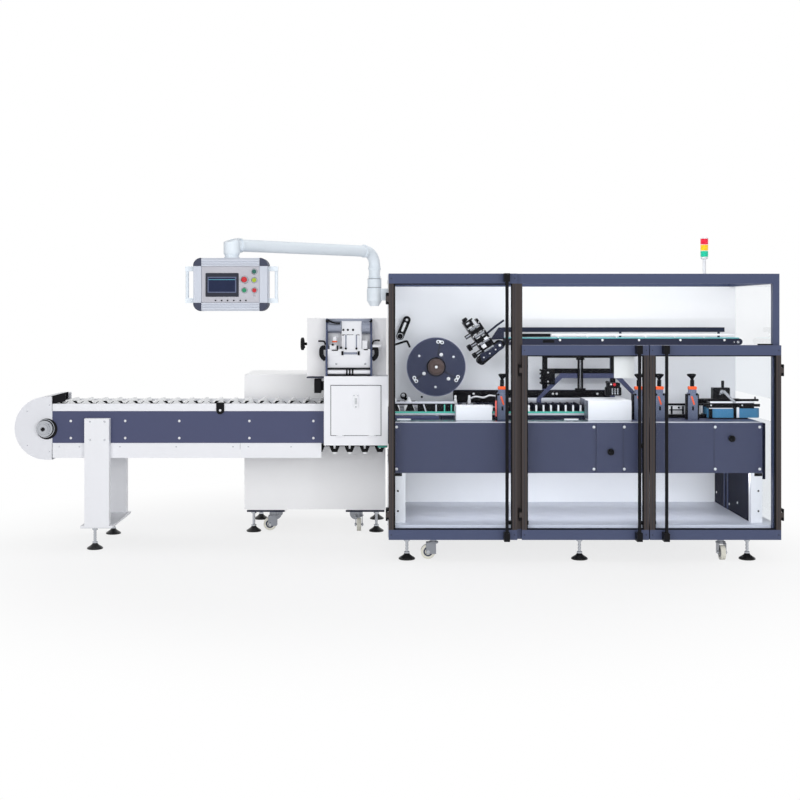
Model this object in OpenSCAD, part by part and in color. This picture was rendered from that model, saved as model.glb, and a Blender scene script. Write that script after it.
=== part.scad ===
// Automatic cartoner: a guarded cartoning cell with a bucket infeed, a leaflet folder
// and an operator panel on a swing arm.
// Millimetres. +X runs with the product, +Y away from the operator, floor at z = 0.

/* [Guard enclosure] */
// Width of the enclosure along the line
enc_w = 2356; // [2250:1:2500]
// Depth from the door fronts to the back of the rear wall
enc_d = 1050; // [1000:1:1150]
// Top of the frame above the floor
enc_h = 1725; // [1680:1:1850]
// Underside of the base beams above the floor
base_z = 126; // [118:1:140]
// Side of the square front posts
post = 40; // [34:1:48]
// Height of the beams and of the door rails
rail_h = 60; // [48:1:70]
// Underside of the beam above the two lower doors
mid_beam_z = 1234; // [1200:1:1260]
// Thickness of the floor plate
floor_t = 19; // [12:1:24]
// Thickness of the rear wall
wall_t = 40; // [30:1:60]
// Thickness of the side panels and panes
sheet_t = 4; // [3:0.5:6]
// Lower edge of the infeed port in the left side
port_z0 = 560; // [520:1:565]
// Upper edge of both side ports
port_z1 = 960; // [945:1:1000]

/* [Doors] */
// Width of the tall left door
left_door_w = 772; // [740:1:800]
// Width of the middle door
mid_door_w = 762; // [730:1:790]
// Depth of a door frame
door_t = 30; // [24:1:36]
// Width of a door stile
stile_w = 30; // [24:1:36]
// Thickness of a door pane
pane_t = 6; // [4:1:10]
// Free gap behind the doors and between the lower doors
door_gap = 6; // [5:0.5:8]
// Space between the left and middle doors, where the middle hinges sit
hinge_space = 28; // [26:1:34]
// Radius of a hinge knuckle
knuckle_r = 6; // [4:0.5:7]
// Distance from a hinge axis to the edge of its door
hinge_off = 12; // [12:0.5:14]
// Diameter of a pole handle
handle_d = 20; // [16:1:26]
// Distance from the door front to the pole's axis
handle_off = 55; // [45:1:65]
// Distance from the free edge of the left and middle doors to the pole
handle_inset = 67; // [55:1:80]
// Distance from the free edge of the right door to its pole
right_handle_inset = 88; // [60:1:110]
// Width of a pole bracket
bracket_w = 34; // [30:1:44]
// Height of a pole bracket
bracket_h = 50; // [36:1:60]

/* [Table] */
// Underside of the table body
table_z0 = 509; // [480:1:530]
// Top of the table body
table_z1 = 819; // [800:1:830]
// Distance from the door fronts to the table front
table_front = 150; // [130:1:170]
// Depth of the table body
table_d = 670; // [640:1:720]
// Distance from the enclosure's side to the table's left end
table_x0 = 33; // [20:1:50]
// Distance from the enclosure's side to the table's right end
table_x1 = 70; // [55:1:90]
// Thickness of the table's front panels
panel_t = 8; // [5:1:12]
// Width of a table post
support_w = 70; // [55:1:85]
// Depth of a table post
support_d = 50; // [40:1:70]
// Thickness of the dark side plates behind the posts
plate_t = 10; // [6:1:14]

/* [Infeed conveyor] */
// Length from the enclosure's side to the end of the infeed
infeed_l = 2366; // [2200:1:2600]
// Distance from the door fronts to the infeed's front face
conv_front = 420; // [400:1:430]
// Overall width of the infeed
conv_w = 500; // [480:1:520]
// Width of the bucket chain
chain_w = 400; // [360:1:410]
// Height of the chain's shafts
chain_z = 758; // [750:1:766]
// Outer radius of the chain at its shafts
chain_r = 104; // [98:1:106]
// Thickness of the chain
chain_t = 8; // [5:1:10]
// Distance from the enclosure's side to the inner shaft
chain_in = 150; // [130:1:155]
// Height of a bucket flight
flight_h = 64; // [50:1:66]
// Length of a bucket flight at its foot
flight_base = 66; // [50:1:75]
// Length of a bucket flight at its tip
flight_tip = 12; // [8:1:20]
// Spacing of the bucket flights
flight_pitch = 96; // [90:1:110]
// Thickness of the infeed's side panels
side_t = 10; // [6:1:14]
// Lower edge of the blue side panels
side_z0 = 665; // [655:1:675]
// Upper edge of the blue side panels
side_z1 = 867; // [860:1:872]
// Height of the white top rails
top_rail_h = 46; // [36:1:50]
// Depth of the white top rails
top_rail_w = 32; // [24:1:38]
// Height of the white lower covers
cover_h = 95; // [80:1:100]
// Radius of the half-round end cover
end_r = 199; // [192:1:205]
// Width of a leg column
leg_w = 155; // [120:1:180]
// Depth of a leg column
leg_d = 50; // [40:1:60]
// Distance from the end of the infeed to the leg
leg_x = 453; // [420:1:600]
// Top of the leg columns
leg_z1 = 823; // [780:1:840]

/* [Cabinet and folder] */
// Width of the rear cabinet
cab_w = 956; // [900:1:1050]
// Depth of the rear cabinet
cab_d = 600; // [520:1:700]
// Distance from the door fronts to the cabinet front
cab_front = 1000; // [990:1:1060]
// Underside of the cabinet
cab_z0 = 156; // [150:1:170]
// Top of the cabinet
cab_z1 = 1070; // [1040:1:1078]
// Thickness of the dark plates under the cabinet
skid_t = 16; // [10:1:20]
// Width of the folder housing
fold_w = 503; // [470:1:540]
// Depth of the folder housing
fold_d = 760; // [720:1:800]
// Top of the folder housing
fold_z1 = 1453; // [1400:1:1480]
// Width of the front box
fbox_w = 396; // [380:1:415]
// Distance from the door fronts to the front box
fbox_front = 241; // [235:1:260]
// Underside of the front box
fbox_z0 = 668; // [660:1:690]
// Top of the front box
fbox_z1 = 1095; // [1085:1:1120]
// Width and height of the access door
hatch_w = 306; // [280:1:330]
// Thickness of the access door
hatch_t = 8; // [5:1:12]
// Width of the folder head
head_w = 290; // [270:1:310]

/* [Label unit] */
// Radius of the label reel's disc
reel_r = 192; // [170:1:205]
// Thickness of the disc
reel_t = 10; // [6:1:14]
// Length of the reel's core
core_l = 80; // [60:1:100]
// Radius of the reel's core
core_r = 60; // [45:1:80]
// Radius of the reel shaft
shaft_r = 14; // [10:1:18]
// Running clearance of the turning pieces
run_gap = 0.3; // [0.2:0.1:0.5]

/* [Operator panel] */
// Width of the panel box
panel_w = 404; // [380:1:440]
// Height of the panel box
panel_h = 288; // [260:1:310]
// Depth of the panel box
panel_d = 140; // [110:1:160]
// Radius of the panel's corners
panel_r = 40; // [25:1:50]
// How far a grip stands out from the panel's side
grip_out = 51; // [45:1:60]
// Height of a grip
grip_h = 200; // [160:1:220]
// Radius of the arm's pipe
pipe_r = 34; // [28:1:38]
// Distance from the arm's pivot to the panel's pivot
arm_l = 1095; // [1060:1:1120]
// Height of the arm's axis above the frame
arm_rise = 136; // [125:1:175]
// Angle of the arm from the line's direction at rest
arm_angle = 45; // [35:1:50]

/* [Feet and casters] */
// Radius of a foot pad
pad_r = 50; // [40:1:55]
// Radius of a foot stem
stem_r = 10; // [8:1:12]
// Radius of a caster wheel
wheel_r = 44; // [38:1:46]
// Width of a caster wheel
wheel_w = 28; // [22:1:30]
// Distance from a caster's swivel axis to its wheel
trail = 32; // [26:1:36]
// Gap between the wheels and the floor when the feet are down
wheel_lift = 4; // [3:1:8]

/* [Hidden] */
$fn = 48;

// Small step that keeps a cutting tool proud of the face it cuts
eps = 1;
// Reach of the right hinges beyond the enclosure
hinge_reach = hinge_off + knuckle_r;
// Reach of the panel's buttons in front of its box
button_reach = 34;

// Row X of the enclosure's left side, with the whole length centred on the origin
enc_x = infeed_l - (infeed_l + enc_w + hinge_reach) / 2;
enc_x1 = enc_x + enc_w;

// Pivot of the arm, in distance from the enclosure's side and from the door fronts
arm_px = 86;
arm_pd = 100;
arm_z = enc_h + arm_rise;
panel_dx = arm_px + arm_l * cos(arm_angle);
panel_dd = arm_pd - arm_l * sin(arm_angle);

// Row Y of the door fronts, with the whole depth centred on the origin
front_reach = panel_d / 2 + button_reach - panel_dd;
rear_reach = cab_front + cab_d;
door_y = (front_reach - rear_reach) / 2;

// Frame and door places
frame_d0 = door_t + door_gap;
frame_d1 = frame_d0 + post;
wall_d0 = enc_d - wall_t;
floor_z = base_z + rail_h;
floor_top = floor_z + floor_t;
mid_post_x = enc_x + left_door_w + hinge_space / 2;
mid_door_x = enc_x + left_door_w + hinge_space;
right_door_x = mid_door_x + mid_door_w + door_gap;
low_door_h = mid_beam_z + rail_h - base_z;
tall_door_h = enc_h - base_z;
hinge_d = 5;
knuckle_h = 30;
ear_h = 20;
ear_w = 10;
hinge_margin = 150;
// Open joint between the rear beam and the side beams
beam_joint = 0.5;

// Table places
tab_x0 = enc_x + table_x0;
tab_x1 = enc_x1 - table_x1;
table_back = table_front + table_d;
// The chain's inner turn clears the table by this much
turn_gap = 14;
tab_main_x = enc_x + chain_in + chain_r + flight_h + turn_gap;

// Infeed places
conv_back = conv_front + conv_w;
chain_d0 = conv_front + (conv_w - chain_w) / 2;
infeed_x = enc_x - infeed_l;
drum_x0 = infeed_x + end_r;
drum_x1 = enc_x + chain_in;
drum_gap = 0.3;
drum_r = chain_r - chain_t - drum_gap;
axle_r = 20;
end_x1 = drum_x0 + 40;
end_t = 5;
cover_t = 4;
fbox_x0 = enc_x - sheet_t - fbox_w;
cover_joint = 1187;
// The rails and the full side height end at the enclosure; inside, the sides are lower
rail_x1 = enc_x - sheet_t;
inner_side_drop = 31;
inner_side_z1 = side_z1 - inner_side_drop;

// Folder places
fold_x0 = enc_x - 12 - fold_w;
head_x0 = fbox_x0 + 8;
hatch_x0 = fbox_x0 + (fbox_w - hatch_w) / 2;
hatch_z0 = fbox_z0 + 64;
hatch_gap = 5;
hatch_axis_d = fbox_front - hatch_gap - hatch_t / 2;
hatch_axis_z = hatch_z0 - 7;
hatch_knuckle_r = 4;

// Label unit places; a name ending in _in is a distance from the enclosure's left side
reel_in = 311;
reel_x = enc_x + reel_in;
reel_z = 1136;
reel_d = 660;
reel_hub_r = 53;
reel_hub_t = 25;
reel_flange_r = 45;
reel_flange_t = 10;
swing_in = 80;
swing_z = 1330;
swing_dx = 45;
swing_dz = 110;
swing_d = 60;
swing_t = 15;
swing_r = 26;
boom_in = 607;
boom_z = 1175;
boom_r = 26;
boom_t = 12;
up_in = 758;
up_end = 54;
up_lift = 45;
up_h = 42;
up_w = 160;
guide_lift = 40;
guide_h = 31;
guide_t = 14;
guide_end = 75;
up_d0 = reel_d - 20;
up_d1 = up_d0 + up_w;
up_x0 = enc_x + up_in;
up_x1 = enc_x1 - up_end;
up_z0 = mid_beam_z + up_lift;
up_z1 = up_z0 + up_h;

// Caster places
caster_z = wheel_lift + wheel_r;
crown_z = caster_z + wheel_r + 8;
crown_t = 8;
race_z = crown_z + crown_t + run_gap;
fork_t = 5;
fork_gap = 5;

function dy(d) = door_y + d;

// Box between two X values, two depths behind the door fronts and two heights
module slab(x0, x1, d0, d1, z0, z1) {
    translate([x0, dy(d0), z0])
        cube([x1 - x0, d1 - d0, z1 - z0]);
}

// Upright cylinder
module pin(x, d, z0, z1, r) {
    translate([x, dy(d), z0])
        cylinder(h = z1 - z0, r = r);
}

// Cylinder along the depth
module bar_y(x, z, d0, d1, r) {
    translate([x, dy(d0), z])
        rotate([-90, 0, 0])
            cylinder(h = d1 - d0, r = r);
}

// Cylinder along the line
module bar_x(x0, x1, d, z, r) {
    translate([x0, dy(d), z])
        rotate([0, 90, 0])
            cylinder(h = x1 - x0, r = r);
}

// Outline in X and Z, extruded between two depths
module plate_xz(points, d0, d1) {
    translate([0, dy(d1), 0])
        rotate([90, 0, 0])
            linear_extrude(height = d1 - d0)
                polygon(points);
}

// Guard frame

module frame_posts() {
    color("#40445e") {
        slab(enc_x, enc_x + post, frame_d0, frame_d1, base_z, enc_h);
        slab(mid_post_x - post / 2, mid_post_x + post / 2, frame_d0, frame_d1, base_z, enc_h);
        slab(enc_x1 - post, enc_x1, frame_d0, frame_d1, base_z, enc_h);
    }
}

module frame_beams() {
    bays = [[enc_x + post, mid_post_x - post / 2], [mid_post_x + post / 2, enc_x1 - post]];
    color("#40445e") {
        for (bay = bays, z = [base_z, enc_h - rail_h])
            slab(bay[0], bay[1], frame_d0, frame_d1, z, z + rail_h);
        slab(bays[1][0], bays[1][1], frame_d0, frame_d1, mid_beam_z, mid_beam_z + rail_h);
        for (x = [enc_x, enc_x1 - post]) {
            slab(x, x + post, frame_d1, wall_d0, base_z, base_z + rail_h);
            slab(x, x + post, frame_d1, enc_d, enc_h - rail_h, enc_h);
        }
        slab(
            enc_x + post + beam_joint, enc_x1 - post - beam_joint, wall_d0, enc_d,
            enc_h - rail_h, enc_h
        );
    }
}

module floor_plate() {
    color("#eceef2")
        slab(enc_x, enc_x1, frame_d1, wall_d0, floor_z, floor_top);
}

module rear_wall() {
    color("#eceef2")
        slab(enc_x, enc_x1, wall_d0, enc_d, base_z, enc_h - rail_h);
}

module left_panels() {
    color("#eceef2") {
        slab(enc_x - sheet_t, enc_x, frame_d1, enc_d, port_z1, enc_h);
        slab(enc_x - sheet_t, enc_x, frame_d1, enc_d, base_z, port_z0);
    }
}

module right_panes() {
    color("#dfe9ee") {
        slab(enc_x1, enc_x1 + sheet_t, frame_d1, enc_d, port_z1, enc_h);
        slab(enc_x1, enc_x1 + sheet_t, frame_d1, enc_d, base_z, table_z1);
    }
}

// Doors

// Heights of a door's two hinges
function hinge_levels(h) = [base_z + hinge_margin, base_z + h - hinge_margin];

// Fixed ears of a hinge beside a corner post, with a web back to the post's side face
module hinge_ears(axis_x, seat_x, zc) {
    for (z0 = [zc + knuckle_h / 2 + run_gap, zc - knuckle_h / 2 - run_gap - ear_h]) {
        pin(axis_x, hinge_d, z0, z0 + ear_h, knuckle_r);
        slab(axis_x - ear_w / 2, axis_x + ear_w / 2, hinge_d, frame_d0 + door_gap, z0, z0 + ear_h);
        slab(
            min(axis_x - ear_w / 2, seat_x), max(axis_x + ear_w / 2, seat_x),
            frame_d0 + door_gap, frame_d1 - door_gap, z0, z0 + ear_h
        );
    }
}

// Fixed ears of a hinge that stands straight on the face of a post
module face_ears(axis_x, zc) {
    for (z0 = [zc + knuckle_h / 2 + run_gap, zc - knuckle_h / 2 - run_gap - ear_h]) {
        pin(axis_x, hinge_d, z0, z0 + ear_h, knuckle_r);
        slab(axis_x - ear_w / 2, axis_x + ear_w / 2, hinge_d, frame_d0, z0, z0 + ear_h);
    }
}

module door_hinges() {
    color("#1c1d22") {
        for (z = hinge_levels(tall_door_h))
            hinge_ears(enc_x - hinge_off, enc_x, z);
        for (z = hinge_levels(low_door_h)) {
            face_ears(mid_door_x - hinge_off, z);
            hinge_ears(enc_x1 + hinge_off, enc_x1, z);
        }
    }
}

// Two stiles, with a knuckle and leaf for each hinge on the hinged one
module stiles(x0, x1, h, axis_x) {
    edge_x = axis_x < x0 ? x0 : x1;
    color("#50484a") {
        slab(x0, x0 + stile_w, 0, door_t, base_z, base_z + h);
        slab(x1 - stile_w, x1, 0, door_t, base_z, base_z + h);
        for (zc = hinge_levels(h)) {
            pin(axis_x, hinge_d, zc - knuckle_h / 2, zc + knuckle_h / 2, knuckle_r);
            slab(
                min(axis_x, edge_x), max(axis_x, edge_x),
                0, 2 * hinge_d, zc - knuckle_h / 2, zc + knuckle_h / 2
            );
        }
    }
}

module rails(x0, x1, h) {
    color("#40445e")
        for (z = [base_z, base_z + h - rail_h])
            slab(x0 + stile_w, x1 - stile_w, 0, door_t, z, z + rail_h);
}

module pane(x0, x1, h) {
    mid = door_t / 2;
    color("#dfe9ee")
        slab(
            x0 + stile_w, x1 - stile_w, mid - pane_t / 2, mid + pane_t / 2,
            base_z + rail_h, base_z + h - rail_h
        );
}

// Pole between two bracket blocks on the door's rails
module pole(x, h) {
    reach = handle_off + handle_d / 2 + 3;
    color("#15161a") {
        for (z = [base_z, base_z + h - bracket_h])
            slab(x - bracket_w / 2, x + bracket_w / 2, -reach, 0, z, z + bracket_h);
        pin(x, -handle_off, base_z + bracket_h, base_z + h - bracket_h, handle_d / 2);
    }
}

left_x = [enc_x, enc_x + left_door_w];
mid_x = [mid_door_x, mid_door_x + mid_door_w];
right_x = [right_door_x, enc_x1];

module left_door_stiles() { stiles(left_x[0], left_x[1], tall_door_h, enc_x - hinge_off); }
module left_door_rails() { rails(left_x[0], left_x[1], tall_door_h); }
module left_door_pane() { pane(left_x[0], left_x[1], tall_door_h); }
module left_door_handle() { pole(left_x[1] - handle_inset, tall_door_h); }
module middle_door_stiles() { stiles(mid_x[0], mid_x[1], low_door_h, mid_door_x - hinge_off); }
module middle_door_rails() { rails(mid_x[0], mid_x[1], low_door_h); }
module middle_door_pane() { pane(mid_x[0], mid_x[1], low_door_h); }
module middle_door_handle() { pole(mid_x[1] - handle_inset, low_door_h); }
module right_door_stiles() { stiles(right_x[0], right_x[1], low_door_h, enc_x1 + hinge_off); }
module right_door_rails() { rails(right_x[0], right_x[1], low_door_h); }
module right_door_pane() { pane(right_x[0], right_x[1], low_door_h); }
module right_door_handle() { pole(right_x[0] + right_handle_inset, low_door_h); }

// Table

module table_body() {
    tray_z1 = chain_z - chain_r - flight_h - turn_gap;
    color("#484d68") {
        slab(tab_main_x, tab_x1, table_front + panel_t, table_back, table_z0, table_z1);
        slab(tab_x0, tab_main_x - turn_gap, table_front + panel_t, table_back, table_z0, tray_z1);
    }
}

module table_panels() {
    joint = 2;
    cuts = [tab_x0, mid_door_x, mid_door_x + 470, tab_x1];
    color("#484d68")
        for (i = [0 : 2])
            slab(
                cuts[i] + (i > 0 ? joint : 0), cuts[i + 1], table_front, table_front + panel_t,
                table_z0, table_z1
            );
}

module table_posts() {
    color("#eceef2")
        for (x = [tab_x0, tab_x1 - support_w])
            slab(
                x, x + support_w, table_front, table_front + support_d,
                floor_top, table_z0
            );
}

module table_plates() {
    color("#2c2f40")
        for (x = [tab_x0 + support_w - plate_t, tab_x1 - support_w])
            slab(x, x + plate_t, table_front + support_d, wall_d0, floor_top, table_z0);
}

// Feet and casters

enc_foot_x = [enc_x + 110, (enc_x + enc_x1) / 2 - 25, enc_x1 - 190];
enc_foot_d = [frame_d0 + post / 2, enc_d - wall_t / 2];
cab_x0 = enc_x - 19 - cab_w;
cab_foot_x = [cab_x0 + 60, cab_x0 + cab_w - 62];
cab_foot_d = [cab_front + 40, cab_front + cab_d - 40];
skid_x = [[cab_x0 + 22, cab_x0 + 281], [cab_x0 + cab_w - 261, cab_x0 + cab_w - 6]];
leg_x0 = infeed_x + leg_x;
base_t = 12;
leg_base_z = base_z + 10;
leg_foot_x = leg_x0 + 0.4 * leg_w;
leg_front = conv_front - leg_d;
leg_back = conv_back + leg_d;
leg_foot_d = [leg_front + 25, leg_back - 25];

// Levelling foot: round pad, stem and lock nut up to the underside it carries
module foot(x, d, top_z) {
    pad_h = 18;
    rim_h = 5;
    nut_z = 40;
    pin(x, d, 0, rim_h, pad_r);
    translate([x, dy(d), rim_h])
        cylinder(h = pad_h, r1 = pad_r, r2 = stem_r + 6);
    pin(x, d, rim_h + pad_h - eps, top_z, stem_r);
    translate([x, dy(d), nut_z])
        cylinder(h = 12, r = stem_r + 7, $fn = 6);
}

module levelling_feet() {
    color("#2a2a2e") {
        for (x = enc_foot_x, d = enc_foot_d)
            foot(x, d, base_z);
        for (x = cab_foot_x, d = cab_foot_d)
            foot(x, d, cab_z0 - skid_t);
        for (d = leg_foot_d)
            foot(leg_foot_x, d, leg_base_z);
    }
}

enc_caster_x = [enc_x + 270, enc_x1 - 350];
cab_caster_x = [cab_x0 + 200, cab_x0 + cab_w - 180];
enc_caster_d = frame_d0 + post / 2;
cab_caster_d = cab_front + 70;
enc_caster_d2 = wall_d0 + wall_t / 2;
cab_caster_d2 = cab_front + cab_d - 70;

// Swivelling fork with its axle; turn is the direction of the trail
module fork(x, d, turn) {
    inner = wheel_w / 2 + fork_gap;
    translate([x, dy(d), 0])
        rotate([0, 0, turn]) {
            translate([0, 0, crown_z])
                cylinder(h = crown_t, r = inner + fork_t + 6);
            for (side = [-1, 1])
                translate([-16, side * (inner + fork_t / 2) - fork_t / 2, caster_z - 12])
                    cube([trail + 28, fork_t, crown_z - caster_z + 12 + crown_t / 2]);
            translate([trail, inner + fork_t, caster_z])
                rotate([90, 0, 0])
                    cylinder(h = 2 * (inner + fork_t), r = 6);
        }
}

module wheel(x, d, turn) {
    translate([x, dy(d), 0])
        rotate([0, 0, turn])
            translate([trail, wheel_w / 2, caster_z])
                rotate([90, 0, 0])
                    difference() {
                        cylinder(h = wheel_w, r = wheel_r);
                        translate([0, 0, -eps])
                            cylinder(h = wheel_w + 2 * eps, r = 6 + run_gap);
                    }
}

// Plate and race that a fork turns under, up to the underside that carries it
module race(x, d, top_z) {
    plate_h = 6;
    plate_s = 84;
    pin(x, d, race_z, top_z - plate_h, 20);
    slab(x - plate_s / 2, x + plate_s / 2, d - post / 2, d + post / 2, top_z - plate_h, top_z);
}

// Rear caster, with the wheel and fork in one piece
module still_caster(x, d, top_z) {
    race(x, d, top_z);
    pin(x, d, crown_z, race_z + eps, 20);
    fork(x, d, 180);
    wheel_core = wheel_w / 2 + fork_gap;
    translate([x - trail, dy(d) + wheel_core, caster_z])
        rotate([90, 0, 0])
            cylinder(h = 2 * wheel_core, r = wheel_r);
}

module caster_mounts() {
    color("#c9ccd0") {
        for (x = enc_caster_x) {
            race(x, enc_caster_d, base_z);
            still_caster(x, enc_caster_d2, base_z);
        }
        for (x = cab_caster_x) {
            race(x, cab_caster_d, cab_z0 - skid_t);
            still_caster(x, cab_caster_d2, cab_z0 - skid_t);
        }
    }
}

module left_caster_fork() { color("#c9ccd0") fork(enc_caster_x[0], enc_caster_d, 180); }
module left_caster_wheel() { color("#d8d2bd") wheel(enc_caster_x[0], enc_caster_d, 180); }
module right_caster_fork() { color("#c9ccd0") fork(enc_caster_x[1], enc_caster_d, 270); }
module right_caster_wheel() { color("#d8d2bd") wheel(enc_caster_x[1], enc_caster_d, 270); }
module cabinet_left_caster_fork() { color("#c9ccd0") fork(cab_caster_x[0], cab_caster_d, 180); }
module cabinet_left_caster_wheel() { color("#d8d2bd") wheel(cab_caster_x[0], cab_caster_d, 180); }
module cabinet_right_caster_fork() { color("#c9ccd0") fork(cab_caster_x[1], cab_caster_d, 270); }
module cabinet_right_caster_wheel() { color("#d8d2bd") wheel(cab_caster_x[1], cab_caster_d, 270); }

// Infeed conveyor

// Solid with flat sides and round ends, between two shafts
module stadium(x0, x1, z, d0, d1, r) {
    bar_y(x0, z, d0, d1, r);
    bar_y(x1, z, d0, d1, r);
    slab(x0, x1, d0, d1, z - r, z + r);
}

module bucket_chain() {
    color("#5c6068")
        difference() {
            stadium(drum_x0, drum_x1, chain_z, chain_d0, chain_d0 + chain_w, chain_r);
            stadium(
                drum_x0, drum_x1, chain_z, chain_d0 - eps, chain_d0 + chain_w + eps, chain_r - chain_t
            );
        }
}

// Upright wedge of one flight, standing on the chain; up is -1 on the return run
module flight(x, up) {
    z = chain_z + up * chain_r;
    tip = z + up * flight_h;
    outline = [
        [x - flight_base / 2, z], [x + flight_base / 2, z],
        [x + flight_tip / 2, tip], [x - flight_tip / 2, tip]
    ];
    plate_xz(outline, chain_d0, chain_d0 + chain_w);
}

module bucket_flights() {
    count = floor((drum_x1 - drum_x0) / flight_pitch);
    color("#26272c")
        for (i = [0 : count], up = [-1, 1])
            flight(drum_x0 + i * flight_pitch, up);
}

module chain_shafts() {
    hub_r = 57;
    color("#c9ccd0") {
        bar_y(drum_x0, chain_z, chain_d0, chain_d0 + chain_w, drum_r);
        bar_y(drum_x1, chain_z, chain_d0, chain_d0 + chain_w, drum_r);
        bar_y(drum_x0, chain_z, conv_front - 25, conv_back + 25, axle_r);
        bar_y(drum_x1, chain_z, conv_front + side_t, conv_back - side_t, axle_r);
        for (d = [conv_front - 18, conv_back])
            bar_y(drum_x0, chain_z, d, d + 18, hub_r);
    }
}

module infeed_panels() {
    color("#484d68")
        for (d = [conv_front, conv_back - side_t])
            plate_xz(
                [
                    [end_x1, side_z0], [tab_main_x - turn_gap, side_z0],
                    [tab_main_x - turn_gap, inner_side_z1], [rail_x1, inner_side_z1],
                    [rail_x1, side_z1], [end_x1, side_z1]
                ],
                d, d + side_t
            );
}

module infeed_covers() {
    rail_d = [conv_front, conv_back - top_rail_w];
    skirt_d = [conv_front + side_t / 2 - cover_t / 2, conv_back - side_t / 2 - cover_t / 2];
    joint = 2;
    color("#eceef2")
        for (i = [0, 1]) {
            slab(
                end_x1, rail_x1, rail_d[i], rail_d[i] + top_rail_w,
                side_z1, side_z1 + top_rail_h
            );
            slab(
                end_x1, end_x1 + cover_joint, skirt_d[i], skirt_d[i] + cover_t,
                side_z0 - cover_h, side_z0
            );
            slab(
                end_x1 + cover_joint + joint, fbox_x0 - 25, skirt_d[i], skirt_d[i] + cover_t,
                side_z0 - cover_h, side_z0
            );
        }
}

module infeed_end_cover() {
    inner_r = end_r - end_t;
    color("#eceef2")
        difference() {
            union() {
                bar_y(drum_x0, chain_z, conv_front, conv_back, end_r);
                slab(drum_x0, end_x1, conv_front, conv_back, chain_z - end_r, chain_z + end_r);
            }
            bar_y(drum_x0, chain_z, conv_front + end_t, conv_back - end_t, inner_r);
            slab(
                drum_x0, end_x1 + end_r, conv_front + end_t, conv_back - end_t,
                chain_z - inner_r, chain_z + inner_r
            );
            slab(
                end_x1, end_x1 + end_r, conv_front - eps, conv_back + eps,
                chain_z - end_r - eps, chain_z + end_r + eps
            );
            bar_y(drum_x0, chain_z, conv_front - eps, conv_back + eps, axle_r);
        }
}

module infeed_leg() {
    color("#eceef2") {
        slab(leg_x0, leg_x0 + leg_w, leg_front, conv_front, leg_base_z + base_t, leg_z1);
        slab(leg_x0, leg_x0 + leg_w, conv_back, leg_back, leg_base_z + base_t, leg_z1);
        slab(leg_x0 - 25, leg_x0 + leg_w + 20, leg_front, leg_back, leg_base_z, leg_base_z + base_t);
    }
}

// Cabinet, folder and front box

module rear_cabinet() {
    color("#eceef2") {
        slab(cab_x0, cab_x0 + cab_w, cab_front, cab_front + cab_d, cab_z0, cab_z1);
        for (x = skid_x)
            slab(x[0], x[1], cab_front, cab_front + cab_d, cab_z0 - skid_t, cab_z0);
    }
}

module folder_housing() {
    color("#eceef2")
        slab(fold_x0, fold_x0 + fold_w, conv_front, conv_front + fold_d, cab_z1, fold_z1);
}

// Two shaped side plates with rollers and cross plates between them
module folder_head() {
    cheek_t = 12;
    front = fbox_front + 30;
    x1 = head_x0 + head_w;
    z0 = fbox_z1;
    h = fold_z1 - fbox_z1;
    knob_z = z0 + 195;
    color("#d5d8de") {
        for (x = [head_x0, x1 - cheek_t])
            translate([x, dy(0), z0])
                rotate([90, 0, 90])
                    linear_extrude(height = cheek_t)
                        polygon([
                            [front, 0], [conv_front, 0], [conv_front, h],
                            [front + 60, h], [front + 45, 150], [front, 110]
                        ]);
        for (roll = [[30, 75, 20], [75, 150, 26], [95, 230, 30], [85, 318, 22]])
            bar_x(head_x0 + cheek_t, x1 - cheek_t, front + roll[0], z0 + roll[1], roll[2]);
        slab(head_x0 + cheek_t, x1 - cheek_t, front + 118, conv_front, z0, z0 + h - 12);
        bar_x(fold_x0 - 20, fold_x0, conv_front + 90, knob_z, 12);
        bar_x(fold_x0 - 45, fold_x0 - 20, conv_front + 90, knob_z, 40);
    }
}

module front_box() {
    ear_t = 10;
    color("#eceef2") {
        slab(fbox_x0, fbox_x0 + fbox_w, fbox_front, conv_front, fbox_z0, fbox_z1);
        for (x = hatch_ears(ear_t))
            slab(x, x + ear_t, hatch_axis_d, fbox_front, hatch_axis_z - 5, hatch_axis_z + 5);
        for (x = hatch_ears(ear_t))
            bar_x(x, x + ear_t, hatch_axis_d, hatch_axis_z, hatch_knuckle_r + 1);
    }
}

// Ears lie outside the two door knuckles
hatch_knuckle_l = 30;
hatch_side = 40;
function hatch_ears(t) = [
    hatch_x0 + hatch_side - run_gap - t,
    hatch_x0 + hatch_side + hatch_knuckle_l + run_gap,
    hatch_x0 + hatch_w - hatch_side - hatch_knuckle_l - run_gap - t,
    hatch_x0 + hatch_w - hatch_side + run_gap
];

module access_door() {
    lo = hatch_axis_d - hatch_t / 2;
    color("#eceef2") {
        slab(hatch_x0, hatch_x0 + hatch_w, lo, lo + hatch_t, hatch_z0, hatch_z0 + hatch_w);
        for (x = [hatch_x0 + hatch_side, hatch_x0 + hatch_w - hatch_side - hatch_knuckle_l]) {
            bar_x(x, x + hatch_knuckle_l, hatch_axis_d, hatch_axis_z, hatch_knuckle_r);
            slab(
                x, x + hatch_knuckle_l, hatch_axis_d - 2, hatch_axis_d + 2,
                hatch_axis_z, hatch_z0
            );
        }
        slab(
            hatch_x0 + hatch_w / 2 - 15, hatch_x0 + hatch_w / 2 + 15, lo - 6, lo,
            hatch_z0 + hatch_w - 110, hatch_z0 + hatch_w - 25
        );
    }
}

// Label unit

module label_reel() {
    color("#484d68")
        difference() {
            union() {
                bar_y(reel_x, reel_z, reel_d, reel_d + reel_t, reel_r);
                bar_y(reel_x, reel_z, reel_d - reel_hub_t, reel_d + eps, reel_hub_r);
                bar_y(reel_x, reel_z, reel_d + reel_t - eps, reel_d + reel_t + core_l, core_r);
            }
            bar_y(reel_x, reel_z, reel_d - 5, reel_d + reel_t + core_l + eps, shaft_r + run_gap);
        }
}

// Steps round each end of a link
link_steps = 12;

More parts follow.
